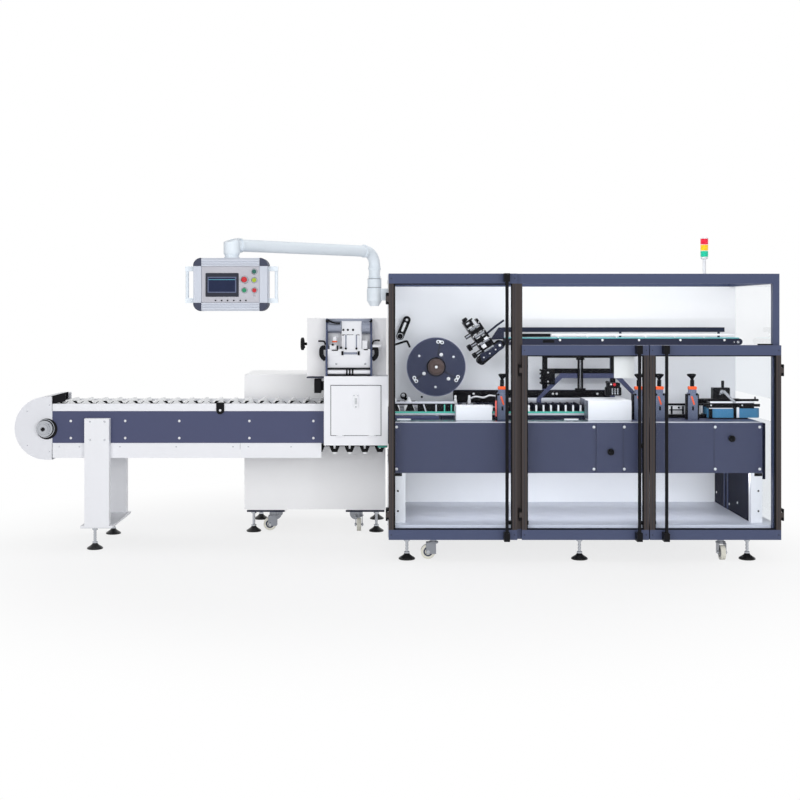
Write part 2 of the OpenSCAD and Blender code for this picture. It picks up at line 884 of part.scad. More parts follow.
// Half circle of points about a centre in X and Z, from a start angle on
function half_round(centre, r, from) = [
    for (i = [0 : link_steps])
        centre + r * [cos(from + 180 * i / link_steps), sin(from + 180 * i / link_steps)]
];

// Round-ended bar between two points in X and Z
module link(a, b, d0, d1, r) {
    turn = atan2(b[1] - a[1], b[0] - a[0]);
    plate_xz(concat(half_round(a, r, turn + 90), half_round(b, r, turn - 90)), d0, d1);
}

module label_unit() {
    boom_x = enc_x + boom_in;
    boom_tip = [up_x0 - boom_r, up_z0 + boom_r / 6];
    core_end = reel_d + reel_t + core_l;
    swing_a = [enc_x + swing_in, swing_z];
    swing_b = swing_a + [swing_dx, swing_dz];
    swing_d0 = wall_d0 - swing_d;
    head_inset = 6;
    head_tilt = 34;
    head_t = 14;
    head_foot = 8;
    head_leaves = [[36, 266], [78, 251], [118, 238]];
    head_rollers = [55, 115, 181];
    roller_out = 40;
    roller_in = 30;
    roller_r = 13;
    roller_l = roller_out + head_leaves[2][0] - head_leaves[0][0] + head_t / 2;
    color("#26272c") {
        bar_y(reel_x, reel_z, reel_d - shaft_r / 4, wall_d0, shaft_r);
        bar_y(reel_x, reel_z, core_end + 5, core_end + 5 + reel_flange_t, reel_flange_r);
        link(swing_a, swing_b, swing_d0, swing_d0 + swing_t, swing_r);
        bar_y(swing_b[0], swing_b[1], swing_d0 + swing_t / 2, wall_d0, swing_r - 10);
        bar_y(swing_a[0], swing_a[1], swing_d0 - 50, swing_d0 + swing_t / 2, swing_r - 8);
        for (d = [up_d0, up_d1 - boom_t])
            link([boom_x, boom_z], boom_tip, d, d + boom_t, boom_r);
        bar_y(boom_x, boom_z, up_d0 + boom_t / 2, up_d1 - boom_t / 2, boom_r - 6);
        translate([boom_x, dy(up_d0 + head_inset), boom_z])
            rotate([0, -head_tilt, 0]) {
                for (leaf = head_leaves)
                    translate([leaf[0], 0, head_foot])
                        cube([head_t, up_w - 2 * head_inset, leaf[1]]);
                for (z = head_rollers)
                    translate([head_leaves[0][0] - roller_out, roller_in, z])
                        rotate([0, 90, 0])
                            cylinder(h = roller_l, r = roller_r);
            }
    }
}

module upper_conveyor() {
    rail_t = 12;
    end_r = up_h / 2;
    guide_z = up_z1 + guide_lift;
    tie = 30;
    tie_z = up_z0 + 6;
    color("#484d68") {
        for (d = [up_d0, up_d1 - rail_t]) {
            slab(up_x0, up_x1 - end_r, d, d + rail_t, up_z0, up_z1);
            bar_y(up_x1 - end_r, up_z0 + end_r, d, d + rail_t, end_r);
        }
        slab(up_x0, up_x1 - end_r, up_d0 + rail_t, up_d1 - rail_t, up_z0 + 8, up_z1);
        for (x = [up_x0 + 2 * tie, (up_x0 + up_x1) / 2, up_x1 - 4 * tie]) {
            slab(x, x + tie, up_d1, wall_d0, tie_z, tie_z + tie);
            slab(x, x + guide_t, up_d1, up_d1 + guide_t, tie_z + tie, guide_z);
        }
        slab(up_x0, up_x1 - guide_end, up_d1, up_d1 + guide_t, guide_z, guide_z + guide_h);
    }
}

// Carton track and tools on the table

track_d0 = 460;
track_w = 320;
track_h = 31;
track_l = 1418;
track_rail_t = 10;
track_rail_h = 12;
track_d1 = track_d0 + track_w;
track_x1 = tab_main_x + track_l;
track_z1 = table_z1 + track_h;

module carton_track() {
    color("#c9ccd0") {
        slab(tab_main_x, track_x1, track_d0, track_d1, table_z1, track_z1);
        for (d = [track_d0 - track_rail_t, track_d1])
            slab(tab_main_x, track_x1, d, d + track_rail_t, table_z1, track_z1 + track_rail_h);
    }
}

lug_pitch = 47;
lug_t = 11;
lug_h = 50;
lug_in = 40;
lug_side = 15;

module carton_lugs() {
    lug_x0 = tab_main_x + lug_in;
    count = floor((track_x1 - lug_x0 - lug_t) / lug_pitch);
    color("#eceef2")
        for (i = [0 : count])
            slab(
                lug_x0 + i * lug_pitch, lug_x0 + i * lug_pitch + lug_t,
                track_d0 + lug_side, track_d1 - lug_side, track_z1, track_z1 + lug_h
            );
}

// Arch over the track and the gantry behind it
arch_in = 980;
arch_rise_l = 159;
arch_top_l = 380;
arch_fall_l = 125;
arch_foot_h = 102;
arch_end_h = 132;
arch_h = 268;
arch_bar = 32;
arch_gap = 10;
arch_d0 = track_d1 + arch_gap;
gantry_in = 1020;
gantry_w = 480;
gantry_gap = 15;
gantry_t = 20;
gantry_bar = 14;
gantry_low = 286;
gantry_high = 371;
fence_in = 428;
fence_z = 88;
fence_h = 71;
fence_t = 8;
fence_post = 20;

module gantry() {
    ax = [
        enc_x + arch_in,
        enc_x + arch_in + arch_rise_l,
        enc_x + arch_in + arch_rise_l + arch_top_l,
        enc_x + arch_in + arch_rise_l + arch_top_l + arch_fall_l
    ];
    az = [table_z1 + arch_foot_h, table_z1 + arch_h, table_z1 + arch_end_h];
    under = az[1] - arch_bar;
    mitre = arch_bar / 3;
    gx = enc_x + gantry_in;
    gd = track_d1 + gantry_gap;
    fence_x = enc_x + fence_in;
    color("#484d68") {
        plate_xz(
            [
                [ax[0], table_z1], [ax[0] + arch_bar, table_z1], [ax[0] + arch_bar, az[0]],
                [ax[1] + mitre, under], [ax[2] - mitre, under], [ax[3] - arch_bar, az[2]],
                [ax[3] - arch_bar, table_z1], [ax[3], table_z1], [ax[3], az[2]],
                [ax[2], az[1]], [ax[1], az[1]], [ax[0], az[0]]
            ],
            arch_d0, arch_d0 + arch_bar
        );
        for (x = [gx, gx + gantry_w - arch_bar])
            slab(
                x, x + arch_bar, gd, gd + gantry_t,
                table_z1, table_z1 + gantry_high + 1.3 * gantry_bar
            );
        for (z = [table_z1 + gantry_low, table_z1 + gantry_high])
            slab(
                gx + arch_bar, gx + gantry_w - arch_bar, gd + gantry_t / 5, gd + 0.8 * gantry_t,
                z, z + gantry_bar
            );
        slab(
            fence_x, gx + gantry_w - arch_bar, gd, gd + fence_t,
            table_z1 + fence_z, table_z1 + fence_z + fence_h
        );
        for (x = [fence_x + 1.6 * fence_post, fence_x + 15.6 * fence_post])
            slab(x, x + fence_post, gd, gd + fence_t, table_z1, table_z1 + fence_z);
    }
}

adjuster_w = 79;
adjuster_t = 40;
adjuster_h = 172;
adjuster_stem_h = 76;
adjuster_stem_r = 9;
adjuster_knob_h = 40;
adjuster_knob_r = 28;
adjuster_front = 340;
adjuster_1_in = 713;
adjuster_2_in = 1571;
adjuster_3_in = 1700;
adjuster_4_in = 1907;

module adjusters() {
    body_z = table_z1 + adjuster_h;
    knob_z = body_z + adjuster_stem_h;
    half = adjuster_w / 2;
    mid_d = adjuster_front + adjuster_t / 2;
    color("#5c6270")
        for (x = [adjuster_1_in, adjuster_2_in, adjuster_3_in, adjuster_4_in]) {
            xc = enc_x + x;
            slab(xc - half, xc + half, adjuster_front, adjuster_front + adjuster_t, table_z1, body_z);
            pin(xc, mid_d, body_z, knob_z, adjuster_stem_r);
            pin(xc, mid_d, knob_z, knob_z + adjuster_knob_h, adjuster_knob_r);
        }
}

small_box_in = 422;
small_box_w = 223;
small_box_d = 140;
small_box_h = 87;
small_box_front = 300;
large_box_in = 1242;
large_box_w = 269;
large_box_d = 110;
large_box_h = 123;
large_box_front = 280;

module cover_boxes() {
    small_x = enc_x + small_box_in;
    large_x = enc_x + large_box_in;
    color("#eceef2") {
        slab(
            small_x, small_x + small_box_w, small_box_front, small_box_front + small_box_d,
            table_z1, table_z1 + small_box_h
        );
        slab(
            large_x, large_x + large_box_w, large_box_front, large_box_front + large_box_d,
            table_z1, table_z1 + large_box_h
        );
    }
}

// Side belts that carry a carton out, and the plates that hold them
out_r = 40;
out_h = 58;
out_l = 203;
out_end = 50;
out_lift = 8;
out_d0 = 430;
out_lane = 290;
out_plate_h = 40;
out_plate_half = 36;
out_tail = 80;
out_motor_l = 105;
out_motor_h = 90;
out_x1 = enc_x1 - out_end;
out_x0 = out_x1 - out_l;
out_z0 = table_z1 + out_lift;
out_z1 = out_z0 + out_h;
out_d = [out_d0, out_d0 + out_lane];

module outfeed_belts() {
    color("#4682aa")
        for (d = out_d) {
            pin(out_x0, d, out_z0, out_z1, out_r);
            pin(out_x1, d, out_z0, out_z1, out_r);
            slab(out_x0, out_x1, d - out_r, d + out_r, out_z0, out_z1);
        }
}

module outfeed_frame() {
    half = out_plate_half;
    tail_x = out_x0 - out_tail;
    motor_x = tail_x + out_tail / 3;
    top = out_z1 + out_plate_h;
    color("#15161a")
        for (d = out_d) {
            slab(tail_x, out_x1, d - half, d + half, out_z1, top);
            slab(tail_x, out_x1 - out_r, d - half, d + half, table_z1, out_z0);
            slab(tail_x, tail_x + out_tail / 4, d - half, d + half, out_z0, out_z1);
        }
    color("#15161a")
        slab(
            motor_x, motor_x + out_motor_l, out_d0 - out_motor_l / 3.5, out_d0 + out_motor_l / 3.5,
            top, top + out_motor_h
        );
}

// Operator panel on its arm

arm_x = enc_x - arm_px;
bracket_h0 = 195;
bracket_h1 = 89;
bracket_z = [enc_h - bracket_h0, enc_h - bracket_h1];
elbow_drop = 49;

module arm_bracket() {
    r = 46;
    taper = 34;
    color("#dde1e4") {
        pin(arm_x, arm_pd, bracket_z[0] + taper, bracket_z[1], r);
        slab(
            arm_x, enc_x - sheet_t, arm_pd - r + 22, arm_pd + r,
            bracket_z[0] + taper, bracket_z[1]
        );
        translate([arm_x, dy(arm_pd), bracket_z[0]])
            cylinder(h = taper, r1 = 26, r2 = r);
    }
}

module panel_arm() {
    bend = 80;
    head_r = 45;
    head_top = 40;
    color("#e6eaec")
        translate([arm_x, dy(arm_pd), 0])
            rotate([0, 0, arm_angle]) {
                translate([0, 0, bracket_z[1] + run_gap])
                    cylinder(h = arm_z - bend - bracket_z[1] - run_gap, r = pipe_r);
                translate([0, 0, bracket_z[1] + run_gap])
                    cylinder(h = 60, r = pipe_r + 8);
                translate([-bend, 0, arm_z - bend])
                    rotate([90, 0, 0])
                        rotate_extrude(angle = 90)
                            translate([bend, 0])
                                circle(r = pipe_r);
                translate([-bend, 0, arm_z])
                    rotate([0, -90, 0])
                        cylinder(h = arm_l - bend, r = pipe_r);
                for (x = [-bend, -arm_l + head_r + 20])
                    translate([x, 0, arm_z])
                        rotate([0, -90, 0])
                            cylinder(h = 14, r = pipe_r + 5);
                translate([-arm_l, 0, arm_z - elbow_drop])
                    difference() {
                        cylinder(h = elbow_drop + head_top, r = head_r);
                        translate([-head_r, -head_r - eps, elbow_drop + head_top - 28])
                            rotate([0, -18, 0])
                                translate([-20, 0, 0])
                                    cube([120, 2 * head_r + 2 * eps, 60]);
                    }
            }
}

panel_x = enc_x - panel_dx;
panel_z1 = arm_z - elbow_drop - 24;
panel_z0 = panel_z1 - panel_h;

module panel_box() {
    inset = panel_w / 2 - panel_r;
    rise = panel_h / 2 - panel_r;
    zc = (panel_z0 + panel_z1) / 2;
    d0 = panel_dd - panel_d / 2;
    d1 = panel_dd + panel_d / 2;
    color("#d5d8de") {
        slab(panel_x - inset, panel_x + inset, d0, d1, panel_z0, panel_z1);
        slab(panel_x - panel_w / 2, panel_x + panel_w / 2, d0, d1, zc - rise, zc + rise);
        for (x = [-inset, inset], z = [-rise, rise])
            bar_y(panel_x + x, zc + z, d0, d1, panel_r);
        pin(panel_x, panel_dd, panel_z1, arm_z - elbow_drop - run_gap, 42);
        for (place = [[78, 31, 14], [78, -24, 11], [131, 31, 11], [131, -24, 11], [131, 75, 11]])
            bar_y(panel_x + place[0], zc + place[1], d0 - button_reach, d0, place[2]);
    }
}

// Grip bar on two stand-offs at each side of the panel
module panel_grips() {
    zc = (panel_z0 + panel_z1) / 2;
    grip_r = 9;
    foot_h = 26;
    foot_d = 30;
    color("#e6eaec")
        for (side = [-1, 1]) {
            edge = panel_x + side * panel_w / 2;
            bar = edge + side * (grip_out - grip_r);
            for (z = [zc - grip_h / 2, zc + grip_h / 2 - foot_h])
                slab(
                    min(edge, edge + side * grip_out), max(edge, edge + side * grip_out),
                    panel_dd - foot_d / 2, panel_dd + foot_d / 2, z, z + foot_h
                );
            pin(bar, panel_dd, zc - grip_h / 2 + foot_h, zc + grip_h / 2 - foot_h, grip_r);
        }
}

tower_end = 206;

module signal_tower() {
    x = enc_x1 - tower_end;
    d = enc_d - wall_t / 2;
    lens_r = 27;
    stem_h = 140;
    lens_h = 45;
    color("#eceef2") {
        pin(x, d, enc_h, enc_h + 10, wall_t / 2);
        pin(x, d, enc_h + 10 - eps, enc_h + stem_h, 11);
        pin(x, d, enc_h + stem_h, enc_h + stem_h + 3 * lens_h, lens_r);
    }
}

frame_posts();
frame_beams();
floor_plate();
rear_wall();
left_panels();
right_panes();
door_hinges();
left_door_stiles();
left_door_rails();
left_door_pane();
left_door_handle();
middle_door_stiles();
middle_door_rails();
middle_door_pane();
middle_door_handle();
right_door_stiles();
right_door_rails();
right_door_pane();
right_door_handle();
table_body();
table_panels();
table_posts();
table_plates();
levelling_feet();
caster_mounts();
left_caster_fork();
left_caster_wheel();
right_caster_fork();
right_caster_wheel();
cabinet_left_caster_fork();
cabinet_left_caster_wheel();
cabinet_right_caster_fork();
cabinet_right_caster_wheel();
bucket_chain();
bucket_flights();
chain_shafts();
infeed_panels();
infeed_covers();
infeed_end_cover();
infeed_leg();
rear_cabinet();
folder_housing();
folder_head();
front_box();
access_door();
label_reel();
label_unit();
upper_conveyor();
carton_track();
carton_lugs();
gantry();
adjusters();
cover_boxes();
outfeed_belts();
outfeed_frame();
arm_bracket();
panel_arm();
panel_box();
panel_grips();
signal_tower();
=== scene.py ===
import math
import bmesh
import bpy
import numpy as np
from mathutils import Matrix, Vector


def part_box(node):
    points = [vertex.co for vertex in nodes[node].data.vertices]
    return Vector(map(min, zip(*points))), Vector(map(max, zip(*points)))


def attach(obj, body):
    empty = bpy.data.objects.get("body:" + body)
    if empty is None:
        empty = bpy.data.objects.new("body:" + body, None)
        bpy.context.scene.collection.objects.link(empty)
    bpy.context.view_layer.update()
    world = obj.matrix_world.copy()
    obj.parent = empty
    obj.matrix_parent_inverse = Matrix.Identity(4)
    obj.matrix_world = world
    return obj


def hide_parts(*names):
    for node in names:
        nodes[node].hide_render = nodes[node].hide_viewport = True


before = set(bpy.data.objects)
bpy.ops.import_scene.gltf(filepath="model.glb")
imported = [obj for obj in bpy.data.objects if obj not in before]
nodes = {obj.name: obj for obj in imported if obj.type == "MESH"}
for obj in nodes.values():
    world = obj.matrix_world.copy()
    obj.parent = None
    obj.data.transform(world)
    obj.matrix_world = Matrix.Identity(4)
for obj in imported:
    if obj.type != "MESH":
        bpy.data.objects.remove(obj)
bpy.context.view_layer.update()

mm = 0.001
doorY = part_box("left_door_rails")[0].y  # row Y of the door fronts, where depth is 0
print("frame loaded:", len(nodes), "nodes")


# camera: level, as the photograph was taken
cameraSet = {"at": (-0.026, doorY - 7.7, 1.5), "lens": 57.75, "sensor": 36, "shift": (0.01875, -0.11125)}
camera = bpy.data.objects.new("camera", bpy.data.cameras.new("camera"))
camera.location = cameraSet["at"]
camera.rotation_euler = (math.radians(90), 0, 0)
camera.data.sensor_width = cameraSet["sensor"]
camera.data.lens = cameraSet["lens"]
camera.data.shift_x, camera.data.shift_y = cameraSet["shift"]
bpy.context.scene.collection.objects.link(camera)
bpy.context.scene.camera = camera


# Parts are (points, faces); points are x, depth behind the doors and height, in mm
axisPlace = {"x": [1, 2, 0], "d": [0, 2, 1], "z": [0, 1, 2]}  # where across, up and along lie in a point
pieceSet = {"merge": 1e-6, "sharp": 35, "bevelAngle": 40, "bevelSegments": 2}


def gridPart(pts, closed=False):
    # four-sided faces between neighbours of a grid whose columns meet; closed joins the last row
    # to the first, and otherwise both end rows are capped
    index = np.arange(pts.shape[0] * pts.shape[1]).reshape(pts.shape[:2])
    grid = np.vstack([index, index[:1]]) if closed else index
    grid = np.hstack([grid, grid[:, :1]])
    quads = np.stack([grid[:-1, :-1], grid[1:, :-1], grid[1:, 1:], grid[:-1, 1:]], -1)
    faces = quads.reshape(-1, 4).tolist()
    if not closed:
        faces += [index[0, ::-1].tolist(), index[-1].tolist()]
    return pts.reshape(-1, 3), faces


def toAxis(across, up, along, axis):
    three = np.stack(np.broadcast_arrays(across, up, along), -1)
    pts = np.empty(three.shape)
    pts[..., axisPlace[axis]] = three
    return pts


def circle(steps):
    return np.linspace(0, 2 * math.pi, steps, endpoint=False)


def block(lo, hi, edge=1.5, axis="d"):
    # a rounded rectangle carried from one end to the other, drawn in at both ends by the edge radius
    lo, hi = np.minimum(lo, hi).astype(float), np.maximum(lo, hi).astype(float)
    mid, half = (lo + hi) / 2, (hi - lo) / 2
    a, b, c = axisPlace[axis]
    edge = min(edge, 0.9 * half.min())
    inset = edge * np.array([0.6, 0.15, 0, 0, 0.15, 0.6])
    along = half[c] - edge * np.array([0, 0.25, 0.8, 0.8, 0.25, 0])
    along *= np.array([-1, -1, -1, 1, 1, 1])
    steps = 3  # on each corner
    turn = np.linspace(0, math.pi / 2, steps + 1)
    angle = np.concatenate([turn + k * math.pi / 2 for k in range(4)])
    side = np.repeat([[1, 1], [-1, 1], [-1, -1], [1, -1]], steps + 1, axis=0)
    radius = (edge - inset)[:, None]
    across = side[:, 0] * (half[a] - edge) + radius * np.cos(angle)
    up = side[:, 1] * (half[b] - edge) + radius * np.sin(angle)
    return gridPart(toAxis(across, up, along[:, None], axis) + mid)


def blocks(rows):
    # a block for each row of lowest corner, highest corner and edge radius
    return [block(row[:3], row[3:6], *row[6:]) for row in rows]


def turned(profile, at, axis="d", steps=32, closed=False):
    # a profile of (radius, length) turned once about an axis through a point
    r, t = np.array(profile, float).T[:, :, None]
    pts = toAxis(r * np.cos(circle(steps)), r * np.sin(circle(steps)), t, axis)
    return gridPart(pts + np.array(at, float), closed)


def ring(at, axis, rIn, rOut, t, steps=36):
    # a rectangle of radius and length turned once, with a hole in the middle
    return turned([(rIn, 0), (rOut, 0), (rOut, t), (rIn, t)], at, axis, steps, True)


def roller(at, axis, length, r, edge=1.0, steps=28):
    # a cylinder with its two rims drawn in
    return turned([(r - edge, 0), (r, edge), (r, length - edge), (r - edge, length)], at, axis, steps)


def bolt(at, r=8, h=5, steps=16, axis="d", out=-1):
    # a domed head: the radius falls along a quarter circle as the height grows
    lift = np.linspace(0, 1, 5)
    return turned(np.stack([r * np.sqrt(1 - (0.96 * lift) ** 2), out * h * lift], -1), at, axis, steps)


def hexHead(at, axis="d", r=9, h=6, out=-1):
    # a six-sided head, with its outer rim drawn in
    return turned([(r, 0), (r, out * h * 0.8), (r * 0.86, out * h)], at, axis, 6)


def sweep(path, profile):
    # a closed profile carried along a path; the frame turns with the path by the least angle
    path, profile = np.array(path, float), np.array(profile, float)
    tangent = np.gradient(path, axis=0)
    tangent /= np.linalg.norm(tangent, axis=1)[:, None]
    start = np.eye(3)[np.argmin(np.abs(tangent[0]))]
    normals = []
    normal = start - tangent[0] * (start @ tangent[0])
    for t in tangent:  # one step for each point of the path
        normal = normal - t * (normal @ t)
        normal = normal / np.linalg.norm(normal)
        normals.append(normal)
    normals = np.array(normals)
    binormals = np.cross(tangent, normals)
    across, up = profile[None, :, :1] * normals[:, None], profile[None, :, 1:] * binormals[:, None]
    return gridPart(path[:, None] + across + up)


def tube(path, r, steps=12):
    return sweep(path, np.stack([r * np.cos(circle(steps)), r * np.sin(circle(steps))], -1))


def smoothPath(points, count):
    # Catmull-Rom curve through the points, each stretch a cubic of its four neighbours
    p = np.array(points, float)
    p = np.vstack([2 * p[0] - p[1], p, 2 * p[-1] - p[-2]])
    u = np.linspace(0, len(p) - 3, count)
    k = np.minimum(u.astype(int), len(p) - 4)
    t = (u - k)[:, None]
    a, b, c, d = p[k], p[k + 1], p[k + 2], p[k + 3]
    return 0.5 * (2 * b + (c - a) * t + (2 * a - 5 * b + 4 * c - d) * t**2 + (3 * b - a - 3 * c + d) * t**3)


def prism(outline, start, end, axis="d"):
    # an outline carried straight from one end to the other
    o = np.array(outline, float)
    return gridPart(toAxis(o[None, :, 0], o[None, :, 1], np.array([[start], [end]], float), axis))


def tilted(part, about, degrees):
    # the part turned in the plane of x and height
    pts, faces = part
    about = np.array(about, float)
    a = math.radians(degrees)
    turn = np.array([[math.cos(a), 0, -math.sin(a)], [0, 1, 0], [math.sin(a), 0, math.cos(a)]])
    return (pts - about) @ turn.T + about, faces


def arc(centre, r, start, end, count):
    # points on a circle in x and height, from one angle to another
    a = np.radians(np.linspace(start, end, count))
    return np.stack([centre[0] + r * np.cos(a), centre[1] + r * np.sin(a)], -1)


def piece(name, finish, parts, body="machine", slot="", stands=(), bevel=0):
    # all parts in one mesh, riding on a body; a slot is worked out from the finish unless it is given, but it is not
    # kept on the piece
    mesh = bpy.data.meshes.new(name)
    points, faces, base = [], [], 0
    for pts, fs in parts:
        points.append(pts)
        faces += [[k + base for k in f] for f in fs]
        base += len(pts)
    points = np.vstack(points) * mm
    points[:, 1] += doorY
    mesh.from_pydata(points.tolist(), [], faces)
    bm = bmesh.new()
    bm.from_mesh(mesh)
    bmesh.ops.remove_doubles(bm, verts=bm.verts, dist=pieceSet["merge"])
    bmesh.ops.recalc_face_normals(bm, faces=bm.faces)
    bm.to_mesh(mesh)
    bm.free()
    mesh.polygons.foreach_set("use_smooth", np.ones(len(mesh.polygons), bool))
    mesh.set_sharp_from_angle(angle=math.radians(pieceSet["sharp"]))
    mesh.materials.append(finishes[finish])
    made = bpy.data.objects.new(name, mesh)
    bpy.context.scene.collection.objects.link(made)
    if bevel:
        rounding = made.modifiers.new("rounding", "BEVEL")
        rounding.width, rounding.segments = bevel * mm, pieceSet["bevelSegments"]
        rounding.limit_method, rounding.angle_limit = "ANGLE", math.radians(pieceSet["bevelAngle"])
    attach(made, body)
    slot = slotOf.get(finish) if slot == "" else slot
    if stands:
        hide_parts(*stands)


# finishes: small builders for shader nodes
def tone(red, green, blue):
    # screen colour in 0 to 255, made linear
    c = np.array([red, green, blue]) / 255
    return (*np.where(c <= 0.04045, c / 12.92, ((c + 0.055) / 1.055) ** 2.4), 1.0)


def feed(tree, socket, value):
    # another node's socket is linked, a number or colour is set
    if isinstance(value, bpy.types.NodeSocket):
        tree.links.new(value, socket)
    else:
        socket.default_value = value


def newGroup(name, inputs, outputs):
    # a number makes a float input, three numbers a vector input, and a word names the kind
    group = bpy.data.node_groups.new(name, "ShaderNodeTree")
    for label, value in inputs.items():
        kind = value if isinstance(value, str) else "Vector" if isinstance(value, tuple) else "Float"
        socket = group.interface.new_socket(label, in_out="INPUT", socket_type="NodeSocket" + kind)
        if not isinstance(value, str):
            socket.default_value = value
    for label, kind in outputs.items():
        group.interface.new_socket(label, in_out="OUTPUT", socket_type="NodeSocket" + kind)
    return group, group.nodes.new("NodeGroupInput").outputs, group.nodes.new("NodeGroupOutput").inputs


def newNode(tree, kind, inputs=(), **settings):
    # the settings come first, and then the inputs by place or by name
    made = tree.nodes.new("ShaderNode" + kind)
    for label, value in settings.items():
        setattr(made, label, value)
    for place, value in inputs.items() if isinstance(inputs, dict) else enumerate(inputs):
        feed(tree, made.inputs[place], value)
    return made


def mathNode(tree, kind, *values, clamp=False):
    return newNode(tree, "Math", values, operation=kind, use_clamp=clamp).outputs[0]


def vectorNode(tree, kind, *values):
    return newNode(tree, "VectorMath", values, operation=kind).outputs


def scaleColour(tree, colour, gain):
    return newNode(tree, "VectorMath", {0: colour, "Scale": gain}, operation="SCALE").outputs[0]


def noiseNode(tree, vector, scale, detail=3.0):
    return newNode(tree, "TexNoise", {"Vector": vector, "Scale": scale, "Detail": detail}).outputs["Fac"]


def rangeNode(tree, value, lowIn, highIn, lowOut=0.0, highOut=1.0):
    given = {"Value": value, "From Min": lowIn, "From Max": highIn, "To Min": lowOut, "To Max": highOut}
    return newNode(tree, "MapRange", given, interpolation_type="SMOOTHSTEP").outputs["Result"]


def mixColour(tree, factor, first, second):
    return newNode(tree, "Mix", {"Factor": factor, 6: first, 7: second}, data_type="RGBA").outputs[2]


def splitNode(tree, vector):
    return newNode(tree, "SeparateXYZ", [vector]).outputs


def mixShaders(tree, share, first, second, out="Material Output"):
    made = newNode(tree, "MixShader", (share, first, second))
    feed(tree, tree.nodes[out].inputs["Surface"], made.outputs[0])


dustColour = tone(190, 188, 182)


def coatSkin():
    # painted sheet: slow blotches in the colour, fine peel in the height, dust where the surface looks up
    group, given, out = newGroup(
        "coatSkin",
        {"Vector": "Vector", "Colour": "Color", "Blotch": 0.05, "Peel": 260.0, "Rough": 0.4, "Dust": 0.1},
        {"Colour": "Color", "Roughness": "Float", "Height": "Float"})
    slow = noiseNode(group, given["Vector"], scale=3.2, detail=4.0)
    fine = noiseNode(group, given["Vector"], scale=46.0, detail=5.0)
    sway = mathNode(group, "SUBTRACT", mathNode(group, "MULTIPLY_ADD", fine, 0.6, slow), 0.8)
    bright = scaleColour(group, given["Colour"], mathNode(group, "MULTIPLY_ADD", sway, given["Blotch"], 1.0))
    normal = newNode(group, "NewGeometry").outputs["Normal"]
    up = rangeNode(group, splitNode(group, normal)["Z"], 0.5, 0.98)
    settled = mathNode(group, "MULTIPLY", mathNode(group, "MULTIPLY", up, fine), given["Dust"])
    feed(group, out["Colour"], mixColour(group, settled, bright, dustColour))
    rough = mathNode(group, "MULTIPLY_ADD", sway, 0.16, given["Rough"])
    feed(group, out["Roughness"], mathNode(group, "MULTIPLY_ADD", settled, 0.5, rough, clamp=True))
    feed(group, out["Height"], noiseNode(group, given["Vector"], given["Peel"], detail=2.0))
    return group


def edgeRubAndGlint():
    # where the rounded normal leaves the flat one, an edge is near; noise breaks the mask up. The edges are
    # lightened: partly rubbed paint, partly a painted highlight along the edges
    group, given, out = newGroup(
        "edgeRubAndGlint", {"Vector": "Vector", "Colour": "Color", "Bare": "Color", "Amount": 0.5}, {"Colour": "Color"})
    soft = newNode(group, "Bevel", {"Radius": 0.004}, samples=4).outputs[0]
    flat = newNode(group, "NewGeometry").outputs["True Normal"]
    same = vectorNode(group, "DOT_PRODUCT", soft, flat)["Value"]
    near = rangeNode(group, mathNode(group, "SUBTRACT", 1.0, same), 0.03, 0.25)
    wornAndGlinting = mathNode(group, "MULTIPLY", near, noiseNode(group, given["Vector"], scale=34.0))
    mask = mathNode(group, "MULTIPLY", wornAndGlinting, given["Amount"], clamp=True)
    feed(group, out["Colour"], mixColour(group, mask, given["Colour"], given["Bare"]))
    return group


def drawnGrain():
    # drawn or brushed metal: noise stretched along one direction drives colour, roughness and height
    group, given, out = newGroup(
        "drawnGrain",
        {"Vector": "Vector", "Colour": "Color", "Stretch": (900.0, 900.0, 12.0), "Depth": 0.12, "Rough": 0.3},
        {"Colour": "Color", "Roughness": "Float", "Height": "Float"})
    drawn = vectorNode(group, "MULTIPLY", given["Vector"], given["Stretch"])[0]
    lines = noiseNode(group, drawn, scale=1.0, detail=4.0)
    cloud = noiseNode(group, given["Vector"], scale=9.0)
    sway = mathNode(group, "SUBTRACT", mathNode(group, "MULTIPLY_ADD", cloud, 0.5, lines), 0.75)
    gain = mathNode(group, "MULTIPLY_ADD", sway, given["Depth"], 1.0)
    feed(group, out["Colour"], scaleColour(group, given["Colour"], gain))
    feed(group, out["Roughness"], mathNode(group, "MULTIPLY_ADD", sway, 0.2, given["Rough"], clamp=True))
    feed(group, out["Height"], lines)
    return group


coatGroup, rubAndGlintGroup, grainGroup = coatSkin(), edgeRubAndGlint(), drawnGrain()
finishes = {}


def bareFinish(name):
    made = bpy.data.materials.new(name)
    made.use_nodes = True
    finishes[name] = made
    tree = made.node_tree
    return tree, tree.nodes["Principled BSDF"].inputs, newNode(tree, "TexCoord").outputs["Object"]


def placeGroup(tree, group, where, **values):
    return newNode(tree, "Group", {"Vector": where, **values}, node_tree=group).outputs


def raiseGrain(tree, shader, height, strength, distance):
    given = {"Strength": strength, "Distance": distance, "Height": height}
    feed(tree, shader["Normal"], newNode(tree, "Bump", given).outputs["Normal"])


def setInputs(shader, values):
    for label, value in values.items():
        shader[label].default_value = value


def coatFinish(name, colour, rough, blotch, peel, dust, rubAndGlint, rubAndGlintColour=(150, 152, 160), bump=0.12, coat=0.0, shine=0.5):
    tree, shader, where = bareFinish(name)
    skin = placeGroup(tree, coatGroup, where, Colour=tone(*colour), Blotch=blotch, Peel=peel, Rough=rough, Dust=dust)
    shown = skin["Colour"]
    if rubAndGlint:
        shown = placeGroup(tree, rubAndGlintGroup, where, Colour=shown, Bare=tone(*rubAndGlintColour), Amount=rubAndGlint)["Colour"]
    feed(tree, shader["Base Color"], shown)
    feed(tree, shader["Roughness"], skin["Roughness"])
    raiseGrain(tree, shader, skin["Height"], bump, 0.0004)
    setInputs(shader, {"Coat Weight": coat, "Specular IOR Level": shine})


